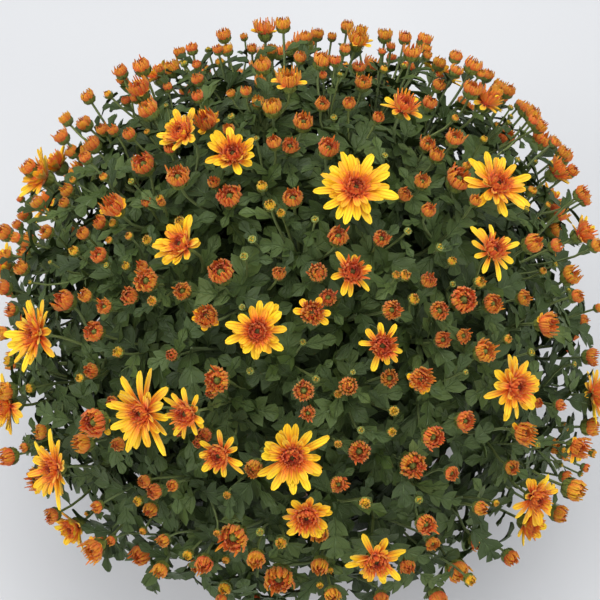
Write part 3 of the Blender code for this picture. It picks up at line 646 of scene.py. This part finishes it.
def button_of_strips(sheaf, size, stand, draw):
    """The thick fringe of short petals round a flower's eye."""
    for whorl in BUTTON_WHORLS:
        lift = BUTTON_LIFT + BUTTON_RISE * (1 - whorl.root)
        for number in range(whorl.count):
            turn = 2 * math.pi * (number + draw.uniform(-0.3, 0.3)) / whorl.count + whorl.root * 9
            paint = fading(whorl.low, whorl.high + draw.uniform(-0.10, 0.10))
            length = size * whorl.tall * draw.uniform(0.82, 1.16)
            slope = math.radians(whorl.slope + draw.uniform(-9, 9))
            bend = math.radians(whorl.bend)
            radius = BUTTON_R * whorl.root
            strip(sheaf, radius, lift, turn, length, BUTTON_STRIP, slope, bend, paint, stand, draw)
    middle = [(0, 0, 0.0002), (0, 0, 0.003), (0, 0, 0.0050)]
    sheaf.tube(middle, (BUTTON_R, 0.0046, 0.0020), 10, 0.5, 0.92, stand)


def young_flower(sheaf, span, petals, stand, draw):
    """A half-open flower: an orange cup, and the few long petals that have unrolled on one side."""
    first = any_turn(draw)
    for number in range(petals):
        turn = first + math.radians(draw.uniform(34, 70)) * number
        length = (span / 2 - YOUNG_R) * draw.uniform(0.85, 1.2)
        slope = math.radians(draw.uniform(18, 46))
        bend = math.radians(draw.uniform(5, 40))
        long_petal(sheaf, YOUNG_R * 0.8, 0, turn, length, YOUNG_PETAL, slope, bend, 0.06, stand, draw)
    cup_of_strips(sheaf, YOUNG_CUP, 0, YOUNG_WHORLS, stand, draw)
    sheaf.tube([(0, 0, 0.0002), (0, 0, 0.004)], (YOUNG_R, YOUNG_R * 0.5), 8, 0.5, 0.92, stand)


def cup_of_strips(sheaf, width, base, whorls, stand, draw):
    """Whorls of narrow petals that stand up from a head's cup and curl in, but for a few lazy ones."""
    shade = draw.uniform(-0.04, 0.10)
    for whorl in whorls:
        wide = width * min(0.26, 3.0 * whorl.root / whorl.count)
        for number in range(whorl.count):
            turn = 2 * math.pi * (number + draw.uniform(-0.25, 0.25)) / whorl.count + whorl.root
            paint = fading(whorl.low + shade, whorl.high + shade + draw.uniform(-0.12, 0.08))
            curl = LAZY_CURL if draw.random() < LAZY_CHANCE else draw.uniform(0.85, 1.15)
            bend = math.radians(whorl.bend * curl)
            radius = width * CUP_R_SHARE * whorl.root
            length = width * whorl.tall * draw.uniform(0.84, 1.16)
            slope = math.radians(whorl.slope + draw.uniform(-7, 7))
            strip(sheaf, radius, base, turn, length, wide, slope, bend, paint, stand, draw)


def bud_petals(sheaf, kind, width, stand, draw):
    """The coloured part of a bud, from a tight tiny one to a cup that is about to open."""
    if kind == "opening" and width < NARROW_BUD:
        kind = "narrow"
    cup_of_strips(sheaf, width, -width * CUP_BASE_SHARE, BUD_WHORLS[kind], stand, draw)


def green_eye(sheaf, radius, foot, top, tint, ripe, stand):
    """The dome of green unopened florets in the middle of a head."""
    levels = [(0, 0, foot + (top - foot) * share) for share in (0, 0.5, 0.85, 1)]
    sheaf.tube(levels, (radius, radius * 0.95, radius * 0.62, radius * 0.15), 8, tint, ripe, stand)


def calyx(sheaf, width, neck, rim, stalk_r, tint, stand, draw):
    """The green cup under a head, with pressed bracts round it."""
    heights = np.array([neck, neck * 0.82 + rim * 0.18, (neck + rim) / 2, rim])
    radii = np.array([stalk_r * 1.1, width * 0.30, width * 0.43, width * 0.46])
    sheaf.tube([(0, 0, height) for height in heights], radii, 8, tint, 0.60, stand)
    half = np.array([0.5, 1.0, 0.25]) * width * 0.17
    hollow = np.full(3, -width * 0.02)
    for number in range(BRACTS):
        turn = 2 * math.pi * (number + draw.uniform(-0.2, 0.2)) / BRACTS
        start = around(width * 0.32, turn, neck * 0.80 + rim * 0.20)
        length = (rim - neck) * draw.uniform(0.95, 1.25)
        line = rib(start, turn, length, np.radians([48, 76, 92]))
        sheaf.blade(line, half, hollow, width * 0.05, tint, fading(0.45, 0.80), 3, None, stand)


# Heads and where they stand


def node_points(name):
    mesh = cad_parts[name].data
    points = np.zeros(len(mesh.vertices) * 3)
    mesh.vertices.foreach_get("co", points)
    return points.reshape(-1, 3)


def metres(pixels):
    """A width that was read off the photograph, as a real size."""
    return pixels * MM_PER_PX / 1000


def flower_of(name, kind, petals, lean):
    """A flower's head, with the place, span and tilt of its CAD node, leant a little."""
    points = node_points(name)
    axis = head_axis(way_at((points.max(0) + points.min(0)) / 2))
    middle = points.mean(0)
    foot = middle + axis * ((points @ axis).min() - middle @ axis)
    from_axis = points - foot - np.outer((points - foot) @ axis, axis)
    way = way_at(middle)
    lift = FLOWER_LIFT + LOW_FLOWER_LIFT * smooth(1 - 1.5 * way[2])
    leant = unit(head_axis(way, lift) + lean)
    return Head(foot, leant, 2 * np.linalg.norm(from_axis, axis=1).max(), kind, petals)


def bud_heads(draw):
    """Buds that the photograph shows, then more of the same on the sides that it hides."""
    heads = []
    lists = (("opening", OPENING_BUDS), ("cup", CUPS), ("small", SMALL_BUDS), ("tiny", TINY_BUDS))
    for kind, rows in lists:
        for column, row, width in rows:
            heads.append(seen_head(column, row, metres(width), kind, 0, draw))
    for column, row, span, petals in YOUNG_FLOWERS:
        heads.append(seen_head(column, row, metres(span), "young", petals, draw))
    for way in steady_ways(HIDDEN_PLACES, LOWEST_BUD):
        if outward(way) @ FORWARD > HIDDEN_FACING:
            way = unit(way + jog(draw, 0.05))
            kind = HIDDEN_KINDS[draw.randrange(len(HIDDEN_KINDS))]
            place = on_dome(way, draw.uniform(*HIDDEN_SHARES))
            width = HIDDEN_WIDTHS[kind] * draw.uniform(0.85, 1.25)
            heads.append(Head(place, loose(head_axis(way, BUD_LIFT), draw), width, kind, 0))
    return heads


def loose(axis, draw):
    """An axis nodded a little to one side."""
    return unit(axis + jog(draw, 0.16))


def seen_head(column, row, width, kind, petals, draw):
    """A head under a pixel: on the dome, or at any depth where the camera looks past it."""
    share = draw.uniform(*SEEN_SHARES)
    ray = ray_through(column, row)
    way, met = way_along(ray, share)
    slide = 0.0
    while not met and share < FARTHEST_SHARE:
        share += 0.01
        way, met = way_along(ray, share)
        slide = draw.uniform(*SLIDES_BESIDE)
    place = on_dome(way, share) + ray * slide
    return Head(place, loose(head_axis(way_at(place), BUD_LIFT), draw), width, kind, petals)


def clear_of(heads, flowers):
    """Heads that are clear of the open flowers and of each other; only the middle of a flower counts."""
    kept = list(flowers)
    for head in heads:
        size = head.width * (0.35 if head.kind == "young" else 0.5)
        free = True
        for other in kept:
            wide = other.width * (0.22 if other.kind in FLOWER_KINDS else 0.5)
            free = free and np.linalg.norm(head.place - other.place) > 0.8 * (size + wide)
        if free:
            kept.append(head)
    return kept[len(flowers):]


# Leafy stems


def nearest(place, places):
    return int(np.argmin(np.linalg.norm(np.asarray(places) - place, axis=1)))


def stem_feet(ways):
    """Where each main stem enters the potting mix, as the CAD has it."""
    reach = math.acos(-SKIRT)
    for way in ways:
        level = unit(np.array([way[0], way[1], 0]))
        yield level * FOOT_CIRCLE_R * (0.12 + 0.88 * math.acos(way[2]) / reach)


class Stem:
    """One main stem with its sheaves of leaves, green stalks and buds."""

    def __init__(self, number, way, foot):
        self.label = f"{number:02d}"
        self.middle = on_dome(way, CORE_SHARE)
        self.way = way
        self.leaves = Sheaf()
        self.stalks = Sheaf()
        self.buds = Sheaf()
        self.grow(foot)

    def grow(self, foot):
        """The main stem itself, straight up out of the mix and then out to its part of the cushion."""
        ground = np.array([foot[0], foot[1], SOIL_TOP_Z + 0.004])
        top = on_dome(self.way, STEM_END_SHARE)
        route = arc(ground, np.array([0, 0, 1.0]), top, outward(self.way), 14)
        route = np.vstack([ground - [0, 0, 0.02], route])
        self.stalks.tube(route, np.linspace(*STEM_RADII, len(route)), 8, 0.2, 0.25)

    def show(self, green, orange):
        """Makes the stem's three pieces."""
        node = f"leafy_stem_{self.label}"
        self.leaves.piece(f"leaves_{self.label}", green, "leaf_green", node)
        self.stalks.piece(f"stalks_{self.label}", green, "leaf_green", node)
        self.buds.piece(f"buds_{self.label}", orange, "petal_orange", node)


def shoot_leaves(stem, route, way, draw):
    """Leaves up one shoot by the golden turn, larger lower down, and darker there with painted shade deep
    in the cushion.
    """
    turn = any_turn(draw)
    for level in np.linspace(0.10, 1.0, SHOOT_LEAVES):
        turn += GOLDEN_TURN + draw.uniform(-0.25, 0.25)
        place = route[min(len(route) - 1, int(level * len(route)))]
        stand = (axes(unit(head_axis(way) + jog(draw, 0.12))), place)
        # The tint is scaled down on leaves low on the shoot: painted shade deep inside the cushion, over
        # a tint that differs at random
        tint = draw.random() * (0.25 + 0.75 * level)
        if level < COARSE_LEVEL:
            length = draw.uniform(*COARSE_LENGTHS)
            small_leaf(stem.leaves, turn, length, draw.uniform(-0.1, 0.4), tint, 0.0, stand, draw)
        else:
            length = draw.uniform(*LEAF_LENGTHS) * (1.10 - 0.32 * level)
            rise = draw.uniform(0.15, 0.75) + 0.25 * level
            leaf(stem.leaves, turn, length, rise, tint, 0.10 * level, stand, draw)


def grow_shoots(stems, draw):
    """Side shoots spread over the whole dome; each has its leaves, and later carries heads."""
    middles = [stem.middle for stem in stems]
    shoots = []
    for way in spiral_ways(SHOOTS, LOWEST_SHOOT):
        way = unit(way + jog(draw, 0.04))
        tip = on_dome(way, draw.uniform(0.82, 0.89) + 0.07 * smooth(0.7 - way[2]))
        stem = stems[nearest(tip, middles)]
        root = on_dome(unit(way + 0.8 * stem.way), SHOOT_ROOT_SHARE)
        route = arc(root, unit(outward(way) + [0, 0, 0.3]), tip, head_axis(way), 12)
        stem.stalks.tube(route[::2], np.linspace(*SHOOT_RADII, 6), 6, draw.random(), 0.35)
        shoot_leaves(stem, route, way, draw)
        shoots.append((tip, route, stem))
    return shoots


def stalk_to(head, neck, shoots, draw):
    """The head's own stalk from the nearest shoot, with three young leaves on it."""
    tips = [tip for tip, _, _ in shoots]
    _, route, stem = shoots[nearest(head.place - head.axis * 0.03, tips)]
    fork = draw.randrange(6, 10)
    root = route[fork]
    line = arc(root, unit(route[fork + 1] - root), neck, head.axis, 7)
    radius = 0.0012 if head.kind in FLOWER_KINDS else 0.0007 + 0.03 * head.width
    stem.stalks.tube(line, np.linspace(radius * 1.1, radius, 7), 5, draw.random(), 0.42)
    turn = any_turn(draw)
    for level in (2, 3, 5):
        turn += YOUNG_LEAF_TURN
        stand = (axes(unit(line[level + 1] - line[level])), line[level])
        length = draw.uniform(*YOUNG_LEAF_LENGTHS) * (1.2 - 0.08 * level)
        rise = draw.uniform(0.3, 0.9)
        small_leaf(stem.leaves, turn, length, rise, draw.random(), 0.07, stand, draw)
    return stem, radius


def grow_heads(heads, shoots, draw):
    """Stalks, green cups and buds, each in the sheaves of the stem that carries it."""
    for head in heads:
        stand = (axes(head.axis, any_turn(draw)), head.place)
        if head.kind in FLOWER_KINDS:
            wide = OPEN_CALYX if head.kind == "open" else YOUNG_CALYX
            neck, rim = -CALYX_DEPTH, -0.0002
        else:
            wide = head.width
            sunk = 0.02 if head.kind in ("small", "tiny") else 0.10
            neck, rim = -wide * 0.55, -wide * sunk
        stem, radius = stalk_to(head, head.place + head.axis * (neck + 0.0005), shoots, draw)
        calyx(stem.stalks, wide, neck, rim, radius, draw.random(), stand, draw)
        if head.kind in FLOWER_KINDS:
            green_eye(stem.stalks, *FLOWER_EYE, draw.random(), 1.0, stand)
        elif head.kind in BUD_EYES:
            share, top = BUD_EYES[head.kind]
            green_eye(stem.stalks, wide * share, -wide * 0.12, wide * top, draw.random(), 0.72, stand)
        if head.kind == "young":
            young_flower(stem.buds, head.width, head.petals, stand, draw)
        elif head.kind not in FLOWER_KINDS:
            bud_petals(stem.buds, head.kind, head.width, stand, draw)


# Finishes

# Ramps of colours: the place on the ramp, then red, green and blue on the 0 to 255 scale
OLD_GREEN = ((0.00, 29, 42, 12), (0.45, 50, 68, 20), (0.80, 72, 90, 30), (1.00, 98, 110, 48))
FRESH_GREEN = ((0.00, 52, 72, 30), (0.40, 118, 134, 88), (0.72, 128, 138, 58), (1.00, 94, 78, 30))
YELLOW_TO_RED = (
    (0.00, 252, 212, 26), (0.18, 248, 188, 28), (0.34, 252, 160, 42), (0.50, 255, 130, 54),
    (0.66, 252, 88, 48), (0.84, 204, 58, 34), (1.00, 90, 56, 24),
)
POT_BROWN = ((0.0, 112, 66, 48), (0.6, 128, 78, 56), (1.0, 142, 90, 68))
PEAT = ((0.00, 24, 17, 13), (0.50, 52, 38, 28), (0.72, 84, 64, 46), (1.00, 150, 130, 104))


def tone(red, green, blue):
    """A colour given on the 0 to 255 scale, as the shader wants it."""
    shares = (red / 255, green / 255, blue / 255)
    linear = [c / 12.92 if c <= 0.04045 else ((c + 0.055) / 1.055) ** 2.4 for c in shares]
    return (*linear, 1)


class Wire:
    """A node's output socket; sums written with it add Math nodes."""

    def __init__(self, finish, socket):
        self.finish = finish
        self.socket = socket

    def maths(self, operation, *numbers):
        return self.finish.node("ShaderNodeMath", {"operation": operation}, dict(enumerate(numbers)))

    def __add__(self, other):
        return self.maths("ADD", self, other)

    def __sub__(self, other):
        return self.maths("SUBTRACT", self, other)

    def __rsub__(self, other):
        return self.maths("SUBTRACT", other, self)

    def __mul__(self, other):
        return self.maths("MULTIPLY", self, other)

    def __abs__(self):
        return self.maths("ABSOLUTE", self)

    __radd__ = __add__
    __rmul__ = __mul__

    def fraction(self):
        return self.maths("FRACT", self)

    def clipped(self):
        return self.maths("MINIMUM", self.maths("MAXIMUM", self, 0), 1)


class Finish:
    """A material whose shader is fed by expressions."""

    def __init__(self, name, **constants):
        self.material = bpy.data.materials.new(name)
        self.material.use_nodes = True
        self.tree = self.material.node_tree
        self.shader = self.tree.nodes["Principled BSDF"]
        for socket, value in constants.items():
            self.shader.inputs[socket.replace("_", " ")].default_value = value

    def node(self, kind, settings, values, output=0):
        made = self.tree.nodes.new(kind)
        for name, value in settings.items():
            if name == "stops":
                self.set_stops(made.color_ramp, value)
            else:
                setattr(made, name, value)
        for key, value in values.items():
            self.feed(made.inputs[key], value)
        return Wire(self, made.outputs[output])

    @staticmethod
    def set_stops(ramp, stops):
        while len(ramp.elements) < len(stops):
            ramp.elements.new(0.5)
        for element, (place, *colour) in zip(ramp.elements, stops):
            element.position = place
            element.color = tone(*colour)

    def feed(self, socket, value):
        if isinstance(value, Wire):
            self.tree.links.new(value.socket, socket)
        else:
            socket.default_value = value

    def mark(self, name):
        return self.node("ShaderNodeAttribute", {"attribute_name": name}, {}, 2)

    def place(self):
        return self.node("ShaderNodeTexCoord", {}, {}, 3)

    def noise(self, place, scale, detail=2.0):
        return self.node("ShaderNodeTexNoise", {}, {"Vector": place, "Scale": scale, "Detail": detail})

    def vector(self, x, y, z):
        return self.node("ShaderNodeCombineXYZ", {}, {0: x, 1: y, 2: z})

    def mix(self, factor, one, two):
        return self.node("ShaderNodeMix", {"data_type": "RGBA"}, {0: factor, 6: one, 7: two}, 2)

    def ramp(self, factor, stops):
        return self.node("ShaderNodeValToRGB", {"stops": stops}, {0: factor})

    def bump(self, height, distance):
        return self.node("ShaderNodeBump", {}, {"Height": height, "Distance": distance})

    def done(self, colour, roughness, height, distance):
        self.feed(self.shader.inputs["Base Color"], colour)
        self.feed(self.shader.inputs["Roughness"], roughness)
        self.feed(self.shader.inputs["Normal"], self.bump(height, distance))
        return self.material


def leaf_finish():
    """Dark green with a soft sheen and paler veins, and fresher on stalks, cups and young leaves."""
    finish = Finish("leaf_green", Specular_IOR_Level=0.32)
    along, across, tint, fresh = (finish.mark(name) for name in ("along", "across", "tint", "warm"))
    side = abs(across)
    main_rib = (1 - side * 9).clipped()
    stripes = (1 - abs((along * 6.5 - side * 1.5).fraction() - 0.5) * 9).clipped()
    veins = stripes * (1 - side * 0.7).clipped()
    vein = finish.node("ShaderNodeMath", {"operation": "MAXIMUM"}, {0: main_rib, 1: veins * 0.6})
    mottle = finish.noise(finish.place(), 90, 3)
    # A lower tint gives a darker old green; on shoot leaves it holds painted shade deep in the cushion
    # besides a tint that differs at random
    old = finish.ramp((tint * 0.7 + mottle * 0.5 - 0.1).clipped(), OLD_GREEN)
    young = finish.ramp((fresh + tint * 0.15).clipped(), FRESH_GREEN)
    plain = finish.mix((fresh * 2.6).clipped(), old, young)
    colour = finish.mix(vein * 0.50, plain, tone(118, 138, 92))
    grain = finish.noise(finish.place(), 900, 2)
    roughness = 0.38 + mottle * 0.26
    return finish.done(colour, roughness, grain * 0.35 - vein * 0.9, 0.0010)


def petal_finish(name, streaks, paler_edge):
    """Bright yellow that turns golden, orange and red as the warm mark rises, with streaks."""
    finish = Finish(name, Specular_IOR_Level=0.3, Sheen_Weight=0.15)
    along, across, tint, warm = (finish.mark(label) for label in ("along", "across", "tint", "warm"))
    side = abs(across)
    streak = finish.noise(finish.vector(across * 2.4, along * 0.9, tint * 37), 2.2, 3)
    speck = finish.noise(finish.place(), 260, 2)
    groove = (1 - abs(side - 0.42) * 7).clipped()
    heat = warm + (streak - 0.5) * streaks + (tint - 0.5) * 0.12 + groove * 0.06
    heat = heat - (side * side) * paler_edge
    colour = finish.ramp((heat + (speck - 0.5) * 0.10).clipped(), YELLOW_TO_RED)
    roughness = 0.44 + streak * 0.2
    return finish.done(colour, roughness, streak * 0.3 - groove * 0.8, 0.0005)


def pot_finish():
    """Brown moulded plastic, scuffed, with dust from the potting mix towards its foot."""
    finish = Finish("pot_plastic", Specular_IOR_Level=0.4)
    place = finish.place()
    cloud = finish.noise(place, 14, 4)
    grain = finish.noise(place, 700, 2)
    height = finish.node("ShaderNodeSeparateXYZ", {}, {0: place}, 2)
    dust = ((0.05 - height) * 14 + cloud - 0.45).clipped()
    brown = finish.ramp((cloud * 1.3 - 0.2).clipped(), POT_BROWN)
    colour = finish.mix(dust * 0.5, brown, tone(150, 128, 104))
    return finish.done(colour, 0.42 + cloud * 0.25, grain, 0.0002)


def soil_finish():
    """Dark peaty potting mix with paler crumbs."""
    finish = Finish("potting_mix", Specular_IOR_Level=0.2)
    place = finish.place()
    crumbs = finish.noise(place, 220, 6)
    patches = finish.noise(place, 30, 3)
    colour = finish.ramp((crumbs * 0.8 + patches * 0.4 - 0.1).clipped(), PEAT)
    return finish.done(colour, 0.85 + patches * 0.1, crumbs, 0.003)


def floor_finish():
    """A pale sheet, faintly uneven."""
    finish = Finish("pale_sheet", Specular_IOR_Level=0.3)
    cloud = finish.noise(finish.place(), 2.5, 3)
    colour = finish.mix(cloud, tone(203, 203, 204), tone(211, 211, 211))
    return finish.done(colour, 0.7 + cloud * 0.1, cloud, 0.01)


# Pot, potting mix and the whole plant


def pot_inner_r(height):
    """The inside radius of the pot's tapered wall at a height."""
    return POT_BASE_R + (POT_TOP_R - POT_BASE_R) * height / POT_HEIGHT - POT_WALL


def turned_mesh(name, profile, sides):
    """A turned mesh whose first and last rings are closed with a face."""
    turn = np.linspace(0, 2 * math.pi, sides, endpoint=False)
    rings = [(r * np.cos(turn), r * np.sin(turn), np.full(sides, z)) for r, z in profile]
    points = np.concatenate([np.stack(ring, 1) for ring in rings])
    grid = np.arange(len(rings) * sides).reshape(len(rings), sides)
    ahead = np.roll(grid, -1, 1)
    faces = np.stack([grid[:-1], grid[1:], ahead[1:], ahead[:-1]], -1).reshape(-1, 4).tolist()
    faces += [grid[0].tolist(), grid[-1, ::-1].tolist()]
    mesh = bpy.data.meshes.new(name)
    mesh.from_pydata(points.tolist(), [], faces)
    return mesh


def make_pot():
    """The nursery pot: thin wall, rolled rim, proud band and drain holes as the CAD's."""
    band = POT_HEIGHT - BAND_HEIGHT
    proud = POT_TOP_R + BAND_PROUD
    inside = [
        (FLOOR_MIDDLE_R, POT_WALL),
        (pot_inner_r(POT_WALL) - 0.004, POT_WALL),
        (pot_inner_r(0.006), 0.007),
        (pot_inner_r(0.08), 0.08),
        (pot_inner_r(POT_HEIGHT - 0.002), POT_HEIGHT - 0.002),
    ]
    rim = [
        (pot_inner_r(POT_HEIGHT) + 0.0008, POT_HEIGHT - 0.0003),
        (proud - 0.002, POT_HEIGHT),
        (proud - 0.0004, POT_HEIGHT - 0.0006),
        (proud, POT_HEIGHT - 0.0022),
        (proud - 0.0006, POT_HEIGHT - 0.0048),
    ]
    outside = [
        (proud - 0.0010, POT_HEIGHT - 0.0060),
        (proud - 0.0014, band + 0.0015),
        (proud - 0.0020, band),
        (pot_inner_r(band) + POT_WALL + 0.0006, band - 0.0022),
        (pot_inner_r(band) + POT_WALL, band - 0.004),
        (pot_inner_r(0.09) + POT_WALL, 0.09),
        (pot_inner_r(0.012) + POT_WALL, 0.012),
    ]
    foot = [
        (POT_BASE_R + 0.0006, 0.0035),
        (POT_BASE_R - 0.0005, 0.0010),
        (POT_BASE_R - 0.003, 0),
        (POT_BASE_R - 0.010, 0),
        (POT_BASE_R - 0.013, 0.0008),
        (FLOOR_MIDDLE_R, 0.0008),
    ]
    return bored(turned_mesh("pot_shell", inside + rim + outside + foot, POT_SIDES))


def bored(mesh):
    """The pot's shell with the drain holes cut through its floor, where the CAD has them."""
    drills = bmesh.new()
    for number in range(DRAIN_HOLES):
        turn = 2 * math.pi * (number + 0.5) / DRAIN_HOLES
        place = Vector((math.cos(turn), math.sin(turn), 0)) * DRAIN_CIRCLE_R
        bmesh.ops.create_cone(
            drills, cap_ends=True, segments=DRAIN_SIDES, radius1=DRAIN_HOLE_R, radius2=DRAIN_HOLE_R,
            depth=4 * POT_WALL, matrix=Matrix.Translation(place),
        )
    drill_mesh = bpy.data.meshes.new("drills")
    drills.to_mesh(drill_mesh)
    drills.free()
    helpers = [bpy.data.objects.new("shell", mesh), bpy.data.objects.new("drills", drill_mesh)]
    for helper in helpers:
        bpy.context.scene.collection.objects.link(helper)
    cut = helpers[0].modifiers.new("cut", "BOOLEAN")
    cut.operation = "DIFFERENCE"
    cut.object = helpers[1]
    graph = bpy.context.evaluated_depsgraph_get()
    shell = bpy.data.meshes.new_from_object(helpers[0].evaluated_get(graph))
    for helper in helpers:
        bpy.data.objects.remove(helper)
    shell.set_sharp_from_angle(angle=SHARP_EDGE)
    return shell


def make_soil(draw):
    """The potting mix: a plain body with an uneven top, bare of the holes that its stems fill."""
    edge = pot_inner_r(SOIL_TOP_Z) - SOIL_GAP
    foot = POT_WALL + 0.0004
    radii = np.linspace(0.002, edge, SOIL_RINGS)
    top = [(r, SOIL_TOP_Z + SOIL_MOUND * (1 - (r / edge) ** 2)) for r in radii]
    profile = [(pot_inner_r(foot) - SOIL_GAP, foot)] + top[::-1]
    mesh = turned_mesh("potting_mix_bed", profile, SOIL_SIDES)
    for vertex in mesh.vertices:
        level = math.hypot(vertex.co.x, vertex.co.y)
        if level < edge - 0.001 and vertex.co.z > SOIL_TOP_Z - 0.01:
            vertex.co.z += draw.uniform(-SOIL_CRUMB, SOIL_CRUMB)
    return mesh


def open_flowers(draw):
    """Heads of the open flowers, with the leans and the spans that are listed."""
    flowers = []
    for number, look in enumerate(OPEN_LOOKS, 1):
        rightward, up, grown = LEANS.get(number, (0, 0, 1))
        lean = RIGHT * rightward + UPWARD * up + jog(draw, 0.07)
        head = flower_of(f"bloom_{number:02d}", "open", look, lean)
        flowers.append(head._replace(width=head.width * grown))
    return flowers


def half_open_flowers(draw):
    """Heads of the half-open flowers that have a CAD node."""
    return [
        flower_of(f"half_bloom_{number:02d}", "half", petals, jog(draw, 0.12))
        for number, petals in enumerate(HALF_LOOKS, 1)
    ]


def grow_plant(green, yellow, orange, draw):
    """Stems, shoots and heads, then a piece for each flower and three for each stem."""
    ways = list(spiral_ways(STEMS, -SKIRT))
    stems = [Stem(number, way, foot) for number, (way, foot) in enumerate(zip(ways, stem_feet(ways)), 1)]
    flowers = open_flowers(draw)
    halves = half_open_flowers(draw)
    shoots = grow_shoots(stems, draw)
    buds = clear_of(bud_heads(draw), flowers + halves)
    grow_heads(flowers + halves + buds, shoots, draw)
    for number, head in enumerate(flowers, 1):
        sheaf = Sheaf()
        petals, button = head.petals
        raised = CUPPED_RAISE if number in CUPPED_FLOWERS else 0
        stand = (axes(head.axis, any_turn(draw)), head.place)
        bloom(sheaf, head.width, petals, button, raised, stand, draw)
        sheaf.piece(f"petals_{number:02d}", yellow, "petal_yellow", f"bloom_{number:02d}")
    for number, head in enumerate(halves, 1):
        sheaf = Sheaf()
        stand = (axes(head.axis, any_turn(draw)), head.place)
        young_flower(sheaf, head.width, head.petals, stand, draw)
        sheaf.piece(f"half_petals_{number:02d}", orange, "petal_orange", f"half_bloom_{number:02d}")
    for stem in stems:
        stem.show(green, orange)


# Studio

FLOOR_HALF = 25
# Name, place, size in metres and power in watts of each lamp
LAMPS = (
    ("overhead", (0.1, 0.5, 2.4), 1.8, 32),
    ("window", (-1.9, -0.9, 1.9), 1.6, 25),
    ("fill", (1.8, -1.6, 1.4), 1.6, 16),
)
LAMP_AIM = Vector((0, 0, 0.25))
SKY_STRENGTH = 0.80
NEAR_CLIP = 0.01


def make_floor(collection):
    """A wide plain floor."""
    mesh = bpy.data.meshes.new("floor")
    corners = [(-1, -1), (1, -1), (1, 1), (-1, 1)]
    mesh.from_pydata([(x * FLOOR_HALF, y * FLOOR_HALF, 0) for x, y in corners], [], [(0, 1, 2, 3)])
    mesh.materials.append(floor_finish())
    floor = bpy.data.objects.new("floor", mesh)
    collection.objects.link(floor)


def make_studio():
    """The floor, three soft lamps and a pale sky."""
    scene = bpy.context.scene
    make_floor(scene.collection)
    for name, place, size, power in LAMPS:
        light = bpy.data.lights.new(name, "AREA")
        light.energy = power
        light.size = size
        lamp = bpy.data.objects.new(name, light)
        lamp.location = place
        lamp.rotation_euler = (LAMP_AIM - Vector(place)).to_track_quat("-Z", "Y").to_euler()
        scene.collection.objects.link(lamp)
    world = bpy.data.worlds.new("studio")
    world.use_nodes = True
    sky = world.node_tree.nodes["Background"]
    sky.inputs["Color"].default_value = tone(236, 240, 246)
    sky.inputs["Strength"].default_value = SKY_STRENGTH
    scene.world = world
    scene.view_settings.view_transform = "Standard"


def make_camera():
    """The photograph's camera."""
    camera = bpy.data.objects.new("camera", bpy.data.cameras.new("camera"))
    camera.data.sensor_width = SENSOR_MM
    camera.data.lens = SENSOR_MM * FOCAL_PX / PHOTO_PX
    camera.data.clip_start = NEAR_CLIP
    camera.location = Vector(CAMERA_AIM - FORWARD * CAMERA_DISTANCE)
    camera.rotation_euler = Matrix((RIGHT, UPWARD, -FORWARD)).transposed().to_euler()
    bpy.context.scene.collection.objects.link(camera)
    bpy.context.scene.camera = camera


make_camera()
make_studio()
green = leaf_finish()
yellow = petal_finish("petal_yellow", 0.40, 0.08)
orange = petal_finish("petal_orange", 0.62, 0.16)
stand_in("pot_shell", make_pot(), pot_finish(), "pot")
grow_plant(green, yellow, orange, random.Random(SEED))
stand_in("potting_mix_bed", make_soil(random.Random(SEED)), soil_finish(), "soil")
